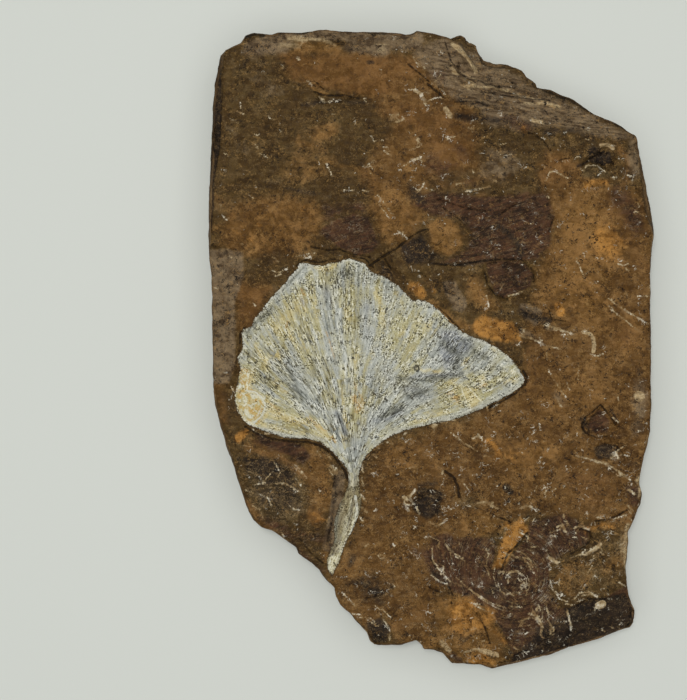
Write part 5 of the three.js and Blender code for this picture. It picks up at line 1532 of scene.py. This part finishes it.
leaf_flat, leaf_faces, leaf_order = net(
    leaf_ring, spread(leaf_ring, LEAF_STEP, 71, LEAF_CLEARANCE)
)
leaf_x, leaf_y = leaf_flat.T
film_depth = leaf_depth.read(leaf_x, leaf_y)
fan_at, vein_at = on_fan(leaf_x, leaf_y)

# Veins fork as the fan widens, so that they stay as far apart, and so do the finer strands.
VEIN_GAP = 0.62
SHORT_STRAND_GAP = 0.28
LONG_STRAND_GAP = 0.5
NARROWEST = 0.6
FORKING = (0.15, 0.85)             # the part of each doubling in which the new veins come up


def row_width(share):
    """The fan's width at a share of the way along its veins."""
    blade_rows = np.hypot(*np.diff(blade, axis=0).transpose(2, 0, 1)).sum(0)
    stalk_rows = np.hypot(*(stalk_right - stalk_left).T)
    return np.where(
        share >= 0, np.interp(share, np.linspace(0, 1, FAN_ALONG + 1), blade_rows),
        np.interp(-share, np.linspace(0, STALK_LENGTH, STALK_ALONG + 1), stalk_rows),
    )


def forked(gap, make):
    """A pattern across the fan that doubles in number each time its gap has doubled."""
    turns = np.log2(np.maximum(row_width(vein_at), NARROWEST) / gap)
    whole = np.floor(turns)
    new = ease(*FORKING, turns - whole)
    return make(2.0 ** whole) * (1 - new) + make(2.0 ** (whole + 1)) * new


sway = 0.004 * bumps(leaf_x, leaf_y, 5, 72)
length = vein_at * BLADE_LENGTH
vein = forked(VEIN_GAP, lambda number: np.cos(2 * math.pi * number * (fan_at + sway)))
strand = forked(SHORT_STRAND_GAP, lambda number: bumps(number * fan_at, length + 40, 1.0, 73))
long_strand = forked(
    LONG_STRAND_GAP, lambda number: bumps(number * fan_at, length / 3.2 + 60, 1.0, 74)
)
uneven = rough(leaf_x, leaf_y, 1.3, 76, 3, 0.7)

marks = {name: stained(leaf_x, leaf_y, shapes) for name, shapes in FILM_MARKS.items()}
ridge = np.zeros(len(leaf_x))
for half_width, rise, *numbers in FILM_RIDGES:
    line = stained(leaf_x, leaf_y, [(half_width, LINE_BLUR, 1.0, *numbers)])
    ridge = np.maximum(ridge, rise * ease(0.1, 0.8, line))

HIGHEST_RIDGE = 0.22
CREASE_DEPTH = 0.16
LOBE_MIDDLE = (-29.9, -9.9)
LOBE_SQUASH = 1.25                 # its length over its width
LOBE_RISE = 0.14
STALK_RISE = 0.22
film = split_face(leaf_x, leaf_y) + 0.02 + LEAF_RISE * ease(-0.05, 0.7, film_depth)
film = film + 0.015 * vein * ease(0.1, 0.6, film_depth) * (1 - 0.7 * marks["rim"])
film = film + 0.03 * long_strand + 0.022 * strand + 0.02 * uneven
film = film + ridge - CREASE_DEPTH * ease(0.3, 0.8, marks["crease_and_shade"])
from_lobe = np.hypot(leaf_x - LOBE_MIDDLE[0], (leaf_y - LOBE_MIDDLE[1]) / LOBE_SQUASH)
film = film + LOBE_RISE * ease(3.2, 1.6, from_lobe)
stalk_round = np.where(vein_at < 0, 1 - (2 * fan_at - 1) ** 2, 0) * ease(0.02, -0.1, vein_at)
film = film + STALK_RISE * stalk_round

# Its underside follows the stone at the margin, and lies on the bed's floor inside it.
UNDER_STEP = 0.8
UNDER_CLEARANCE = 0.3
UNDER_LAP = 0.03                   # how far the margin goes below the stone's face
under_flat, under_faces, under_order = net(
    leaf_ring, spread(leaf_ring, UNDER_STEP, 77, UNDER_CLEARANCE)
)
under_depth = leaf_depth.read(under_flat[:, 0], under_flat[:, 1])
under = split_face(under_flat[:, 0], under_flat[:, 1]) - UNDER_LAP
under = under - ease(1.0, 1.5, under_depth) * (under - LEAF_FLOOR)
rim_under = split_face(leaf_ring[:, 0], leaf_ring[:, 1]) - UNDER_LAP

leaf, leaf_places = sheet_mesh(
    "ginkgo_leaf_film", [(leaf_ring, rim_under)],
    (leaf_flat, leaf_faces, leaf_order, film),
    (under_flat, under_faces, under_order, under),
)
leaf_places = keep_in_box(leaf, leaf_places, *solid_box)


def note_film(name, values):
    """Keeps a number for each place of the film's upper side; the rest of it gets a plain 0."""
    padded = np.zeros(len(leaf_places))
    padded[len(leaf_ring):len(leaf_ring) + len(leaf_flat)] = values
    note(leaf, name, padded)


for mark, values in marks.items():
    note_film(mark, values)
note_film("depth", np.clip(film_depth, 0, 3))
note_film("fan_across", fan_at + sway)
note_film("fan_along", length)
note_film("fork", np.log2(np.maximum(row_width(vein_at), 1)))
note_film("stalk", ease(0.08, -0.12, vein_at))
note_film("ridge", ridge / HIGHEST_RIDGE)

# Where the film is thin and the dark stone shows most, and where it is whole.
WORN = [
    (0, 2, 0.9, -18,14, -10,13.4, -11,10, -17,10), (1.6, 2, 0.4, -12.6,9, -12,3),
    (0, 2.4, 0.9, 1,3, 7,2, 9,-2, 3,-4), (0, 2.4, 0.9, -6,-5, 2,-5, 4,-8, -4,-9),
    (1.6, 2, 0.8, -10,-6, -8,-11, -5,-10), (1.4, 2, 0.5, -27,6, -21,10),
    (0.6, 0.8, 1.0, -31,2, -28,6, -25.4,8), (2, 2.4, 0.7, -25,0, -20,-8),
    (1.4, 1.6, 0.8, -29.6,-1, -27,-5), (1.6, 2, 0.6, -20,-4, -16,-8),
    (1, 1.4, 0.8, -15,-12, -11,-14, -12.6,-19), (0.9, 0.9, 1.0, -9.4,12, -5.6,9.4),
    (0.4, 0.5, 1.0, 1,5, 4.4,3), (0.5, 0.6, 0.8, -25.6,-12, -20.6,-13.6),
    (0.7, 1, 0.6, 7,-7, 12.6,-5.4), (1.2, 1.4, 1.0, -28,-3, -26,-1),
    (1, 1.2, 0.9, -16,-12.6, -14.4,-15), (1, 1.2, 0.7, 8,-1, 10,-4),
]
SMOOTH = [
    (0.9, 0.8, 0.6, -20,-15, -10.6,-17, -5,-13.6, 2,-12, 9,-9.4, 14.4,-6.2),
    (0.4, 0.7, 0.8, 4,3, 9,0.8, 12.6,-1.4), (0.8, 0.5, 0.6, -25.4,8.6, -23,11, -21.4,13.6),
    (0, 1, 0.6, -30.6,-6.6, -28.4,-8.2, -28.2,-11, -30,-12.6, -32,-10),
    (0, 0.5, 1.0, 5,-6, 6.4,-6, 8.4,-8.8, 5.6,-9.2),
    (0, 1.6, 0.7, -30.6,1.6, -25,8, -22,6.6, -23.4,2, -27.6,-2.4),
    (0.9, 0.8, 0.9, -26.8,-11.4, -23,-13, -18,-14.4), (1, 1.2, 0.7, 12,-1.4, 14,-3),
]
# Where the film is creamy, and where it is blue-grey.
CREAMY = [
    (0, 2.5, 0.8, -28,7, -22,12, -18,11, -19,4, -26,1), (1.2, 1.6, 0.8, -13.4,9, -12.4,1),
    (0, 2.2, 0.7, -9,10, -4,7, 0,2, -4,-4, -8,2), (0, 1.6, 1.0, 2,-6, 12,-4, 9,-9, 1,-11),
    (0, 1.5, 0.9, -31,2, -26,-3, -30,-6), (1.6, 1.2, 1.0, -28,-8.6, -23,-12, -18,-14),
    (1.2, 1.2, 0.9, -14,-5, -12,-14), (1, 1.2, 0.7, -22,4, -19,-6), (0.8, 1, 0.5, -18,-7, -17,-11),
]
BLUISH = [
    (1.1, 1.2, 0.9, -24,-2, -19,-9, -15.4,-14), (0.9, 1, 0.8, -17,9, -17,1),
    (0.9, 1, 0.9, -11,7, -10.6,0), (0, 1.5, 1.0, 0,4, 7,2, 5,-5, 0,-3),
    (1, 0.8, 1.0, -26,8.6, -21.6,13.6), (1.6, 1.6, 1.0, -9,-12, -1,-6.6),
    (0.8, 1, 0.9, -12,-14, -12.6,-19), (0.8, 1, 0.7, -14.6,0, -14,-4), (0.7, 1, 0.7, -6.6,7, -7,3),
    (0.8, 1, 0.7, 7,-2.6, 9,-4), (1, 1.4, 0.5, -7,-2, -8,-7),
]
# Where its streaks are long and strong, and where the curled lobe has none.
STREAKY = [
    (2.6, 3, 1.0, -27,-2, -19,-10, -15,-14), (2.5, 2.5, 0.9, -22,4, -16,-8),
    (2.6, 2.5, 0.7, -16,10, -13,-12), (2, 2, 0.8, -9,-12, -2,-7), (1.6, 2, 0.6, 1,-2, 7,2),
    (2, 1.5, 1.0, -13,-12, -13,-20), (0.8, 1, 0.8, -24,-13, -17,-14.6),
]
LOBE = [
    (0, 0.5, 1.0, -32.8,-3.2, -30.4,-3.2, -30,-6.4, -28.1,-7.8, -27.6,-10, -29,-13, -31,-13.4,
     -33.4,-10),
]
for name, shapes in {"worn": WORN, "smooth": SMOOTH, "streaks": STREAKY, "lobe": LOBE}.items():
    note_film(name, stained(leaf_x, leaf_y, shapes))
note_film("creamy", stained(leaf_x, leaf_y, CREAMY) - stained(leaf_x, leaf_y, BLUISH))

mineral = Finish("leaf_mineral")
film_place = mineral.place
fan_wire = mineral.noted("fan_across")
length_wire = mineral.noted("fan_along")
turns_wire = mineral.noted("fork")
whole_turns = mineral.add("ShaderNodeMath", {"operation": "FLOOR"}, {0: turns_wire})
coming_up = mineral.between(turns_wire - whole_turns, *FORKING)
veins_so_far = mineral.add("ShaderNodeMath", {"operation": "POWER"}, {0: 2.0, 1: whole_turns})


def fanned(per_mm, along_by, detail, roughness, apart=9.0):
    """Streaks along the veins, which fork as the mesh's own do."""
    streaks_at = []
    for turn in (1.0, 2.0):
        at = mineral.add("ShaderNodeCombineXYZ", {}, {
            0: fan_wire * veins_so_far * (per_mm * turn), 1: length_wire * along_by,
            2: apart * turn,
        })
        streaks_at.append(mineral.mottle(at, 1.0, detail, roughness))
    return streaks_at[0] * (1 - coming_up) + streaks_at[1] * coming_up


wide = fanned(1.2, 0.12, 2, 0.55)
fibre = fanned(2.7, 0.3, 2, 0.6, 31.0)
speckle = fanned(5.0, 1.15, 2, 0.6, 52.0)
tint = fanned(1.0, 0.13, 2, 0.5, 77.0)
dots = mineral.mottle(film_place, 4.2, 2, 0.6)
film_cloud = mineral.mottle(film_place, 0.35, 4, 0.6)
film_patch = mineral.mottle(film_place, 1.3, 4, 0.62, 0.5)

# Light and dark: long streaks in some parts, short dashes and dots in the others.
worn = mineral.noted("worn")
smooth = mineral.noted("smooth")
streaks = mineral.noted("streaks")
lobe = mineral.noted("lobe")
clustered = mineral.mottle(film_place, 0.7, 2, 0.5) + (wide - 0.5) * 0.4
short = dots + (speckle - dots) * (streaks * 0.3 + 0.44)
dash = (short - 0.5) * mineral.between(clustered, 0.42, 0.58, 0.5, 1.5)
film_tone = (wide - 0.5) * (streaks * 0.28 + 0.1) + (fibre - 0.5) * (streaks * 0.3 + 0.2)
film_tone = film_tone + dash * (0.8 - streaks * 0.15) + (film_patch - 0.5) * 0.12
lobe_tone = (film_patch - 0.5) * 0.5 + (dots - 0.5) * 0.5
film_tone = film_tone + (lobe_tone - film_tone) * lobe
film_tone = film_tone * (1 - smooth * 0.35) - worn * 0.06 + smooth * 0.008 + 0.53
creamy = mineral.noted("creamy") * 0.1 + (tint - 0.5) * 0.5 + (film_cloud - 0.5) * 0.2
creamy = creamy + (film_patch - 0.5) * 0.2
cool_film = mineral.wash(film_tone, [
    (0.36, (72, 74, 68)), (0.43, (126, 129, 121)), (0.49, (158, 160, 151)),
    (0.55, (178, 180, 170)), (0.64, (210, 210, 198)),
])
warm_film = mineral.wash(film_tone, [
    (0.36, (70, 62, 36)), (0.43, (123, 113, 74)), (0.49, (157, 148, 104)),
    (0.55, (177, 170, 127)), (0.64, (208, 201, 163)),
])
film_colour = mineral.mix(cool_film, warm_film, mineral.between(creamy, -0.1, 0.12))

# The marks' dark, middle and light colours, how soft and how ragged their edges are, and how
# much of them shows.
MARK_LOOKS = {
    "yellow": ((104, 88, 48), (182, 164, 108), (216, 206, 164), 0.3, 0.9, 0.9),
    "blue": ((70, 72, 78), (124, 127, 133), (170, 173, 175), 0.36, 0.9, 0.72),
    "rim": ((108, 108, 98), (156, 156, 144), (196, 195, 180), 0.3, 0.7, 0.7),
    "orange": ((118, 82, 38), (178, 134, 70), (206, 178, 120), 0.36, 0.9, 0.75),
    "shadow": ((50, 50, 42), (96, 96, 84), (142, 142, 126), 0.34, 0.7, 0.8),
    "cream": ((140, 124, 84), (198, 189, 148), (226, 221, 196), 0.26, 0.5, 0.9),
}


def mark_over(colour, mark):
    """A mark laid over the film with a ragged edge."""
    dark, middle, light, softness, ragged, most = MARK_LOOKS[mark]
    share = mineral.noted(mark)
    worn_edge = share + (film_patch - 0.5) * ragged + (tint - 0.5) * ragged * 1.4
    shows = mineral.between(worn_edge, 0.5 - softness, 0.5 + softness)
    own = mineral.wash(film_tone, [(0.4, dark), (0.5, middle), (0.6, light)])
    return mineral.mix(colour, own, shows * mineral.between(share, 0.0, 0.12) * most)


for mark in ("yellow", "blue", "rim", "orange"):
    film_colour = mark_over(film_colour, mark)

# The curled lobe is mottled, white and orange-yellow.
blot = mineral.mottle(film_place, 0.75, 2, 0.55, 0.8) + (dots - 0.5) * 0.16
blotted = mineral.wash(blot, [
    (0.4, (184, 146, 70)), (0.46, (186, 164, 104)), (0.52, (184, 176, 136)),
    (0.6, (208, 206, 186)),
])
on_lobe = mineral.between(lobe + (film_patch - 0.5) * 0.8, 0.3, 0.7)

# The dark stone shows in small pits, most where the film is thin.
pitted = mineral.between(dash - worn * 0.03 + smooth * 0.05 + lobe * 0.04, -0.06, -0.1)
bare_stone = mineral.wash(film_patch, [(0.4, (52, 50, 44)), (0.6, (84, 76, 54))])

# Fine dark lines between the veins, pale ones on them, and bright dashes.
between_veins = mineral.winding(fanned(1.7, 0.1, 2, 0.5, 12.0), 0.0, 0.02)
between_veins = between_veins * mineral.between(film_patch + worn * 0.04, 0.47, 0.56)
on_veins = mineral.winding(fanned(2.0, 0.12, 2, 0.5, 24.0), 0.0, 0.02)
on_veins = on_veins * mineral.between(film_patch, 0.54, 0.44)
shine = mineral.between(dash * 0.75 + (fibre - 0.5) * 0.25 - smooth * 0.02, 0.042, 0.09)

at_stalk = mineral.noted("stalk")
stalk_colour = mineral.wash(film_tone, [
    (0.4, (58, 48, 29)), (0.5, (103, 88, 57)), (0.6, (150, 136, 96)),
])
for over, share in (
    (blotted, on_lobe * 0.8),
    (bare_stone, pitted * 0.9),
    (paint(74, 74, 62), between_veins * (streaks * 0.35 + 0.3)),
    (paint(218, 218, 206), on_veins * 0.5),
    (paint(226, 225, 212), shine * 0.5),
    (stalk_colour, at_stalk * (1 - mineral.noted("cream") * 0.5) * 0.85),
):
    film_colour = mineral.mix(film_colour, over, share)
for mark in ("shadow", "cream"):
    film_colour = mark_over(film_colour, mark)

# Where the finish paints a highlight on the ridges.
ridge_highlight = mineral.noted("ridge") + (film_patch - 0.5) * 1.2 + (dots - 0.5) * 0.4
# Where the finish paints shade in the creases.
creased_and_shaded = mineral.between(mineral.noted("crease_and_shade") + (dots - 0.5) * 0.6, 0.42, 0.68)

# Its margin is chipped: the stone shows in nicks, with pale crumbs beside them.
from_margin = mineral.noted("depth")
nick = (dots - 0.5) * 1.6 + (film_patch - 0.5) * 1.4
crumbs = mineral.between(from_margin + nick, 0.75, 0.45)
crumbs = crumbs * mineral.between(film_patch, 0.48, 0.56) * (1 - at_stalk)
# The ridges get a painted highlight and the creases painted shade, then the pale crumbs.
for over, share in (
    (paint(208, 208, 194), mineral.between(ridge_highlight, 0.45, 0.75) * 0.7),
    (paint(44, 40, 32), creased_and_shaded * 0.85),
    (paint(212, 210, 194), crumbs * 0.6),
):
    film_colour = mineral.mix(film_colour, over, share)
whole_film = mineral.between(from_margin + nick * 0.7, 0.0, 0.2)
film_colour = mineral.mix(paint(76, 62, 42), film_colour, whole_film)

film_relief = speckle * 0.3 + fibre * 0.4 + dots * 0.3 - creased_and_shaded * 0.3 - pitted * 0.4
leaf.data.materials.append(mineral.finish(
    Base_Color=film_colour,
    Roughness=mineral.between(film_patch, 0.3, 0.7, 0.62, 0.82),
    Normal=mineral.add("ShaderNodeBump", {}, {
        "Strength": 0.8, "Distance": 0.0003, "Height": film_relief,
    }, "Normal"),
    Specular_IOR_Level=0.2,
))
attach(leaf, "root")
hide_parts("ginkgo_leaf")


# ---------------------------------------------------------------------------------------------
# The table that it lies on: plain, matt and pale. It isn't part of the object.

TABLE_REACH = 2.0                  # metres, each way from the middle
table_mesh = bpy.data.meshes.new("pale_table")
corners = [(x * TABLE_REACH, y * TABLE_REACH, 0) for x, y in ((-1, -1), (1, -1), (1, 1), (-1, 1))]
table_mesh.from_pydata(corners, [], [(0, 1, 2, 3)])
table = bpy.data.objects.new("pale_table", table_mesh)
bpy.context.scene.collection.objects.link(table)
board = Finish("pale_board")
table_mesh.materials.append(board.finish(
    Base_Color=paint(211, 214, 207), Roughness=0.9, Specular_IOR_Level=0.1,
))

# ---------------------------------------------------------------------------------------------
# The light: a small panel almost straight overhead, a broad one above the table, and a dim room.

PANELS = [
    # place and width in metres, power in watts
    ((-0.05, 0.06, 0.6), 0.1, 1.56),
    ((0.0, 0.0, 0.55), 0.72, 1.74),
]
ROOM_TINT = (0.97, 1.0, 0.98, 1)
ROOM_LIGHT = 0.18

for number, (where, width, power) in enumerate(PANELS):
    panel = bpy.data.lights.new(f"panel_{number}", "AREA")
    panel.shape = "SQUARE"
    panel.size = width
    panel.energy = power
    stand = bpy.data.objects.new(f"panel_{number}", panel)
    stand.location = where
    stand.rotation_euler = (-Vector(where)).to_track_quat("-Z", "Y").to_euler()
    bpy.context.scene.collection.objects.link(stand)
room = bpy.data.worlds.new("pale_room")
room.use_nodes = True
backdrop = room.node_tree.nodes["Background"]
backdrop.inputs["Color"].default_value = ROOM_TINT
backdrop.inputs["Strength"].default_value = ROOM_LIGHT
bpy.context.scene.world = room
bpy.context.scene.view_settings.view_transform = "Standard"

# ---------------------------------------------------------------------------------------------
# The camera looks straight down from 294 mm above the table.

LENS = 87.47                       # millimetres, like the sensor
SENSOR = 36.0
SHIFT = (-0.0136, -0.0286)         # of the picture's width
CAMERA_PLACE = (-0.0130, 0.00317, 0.2939)
NEAREST_SEEN = 0.01
camera = bpy.data.cameras.new("camera")
camera.lens = LENS
camera.sensor_width = SENSOR
camera.shift_x, camera.shift_y = SHIFT
camera.clip_start = NEAREST_SEEN
camera_stand = bpy.data.objects.new("camera", camera)
camera_stand.location = CAMERA_PLACE
bpy.context.scene.collection.objects.link(camera_stand)
bpy.context.scene.camera = camera_stand
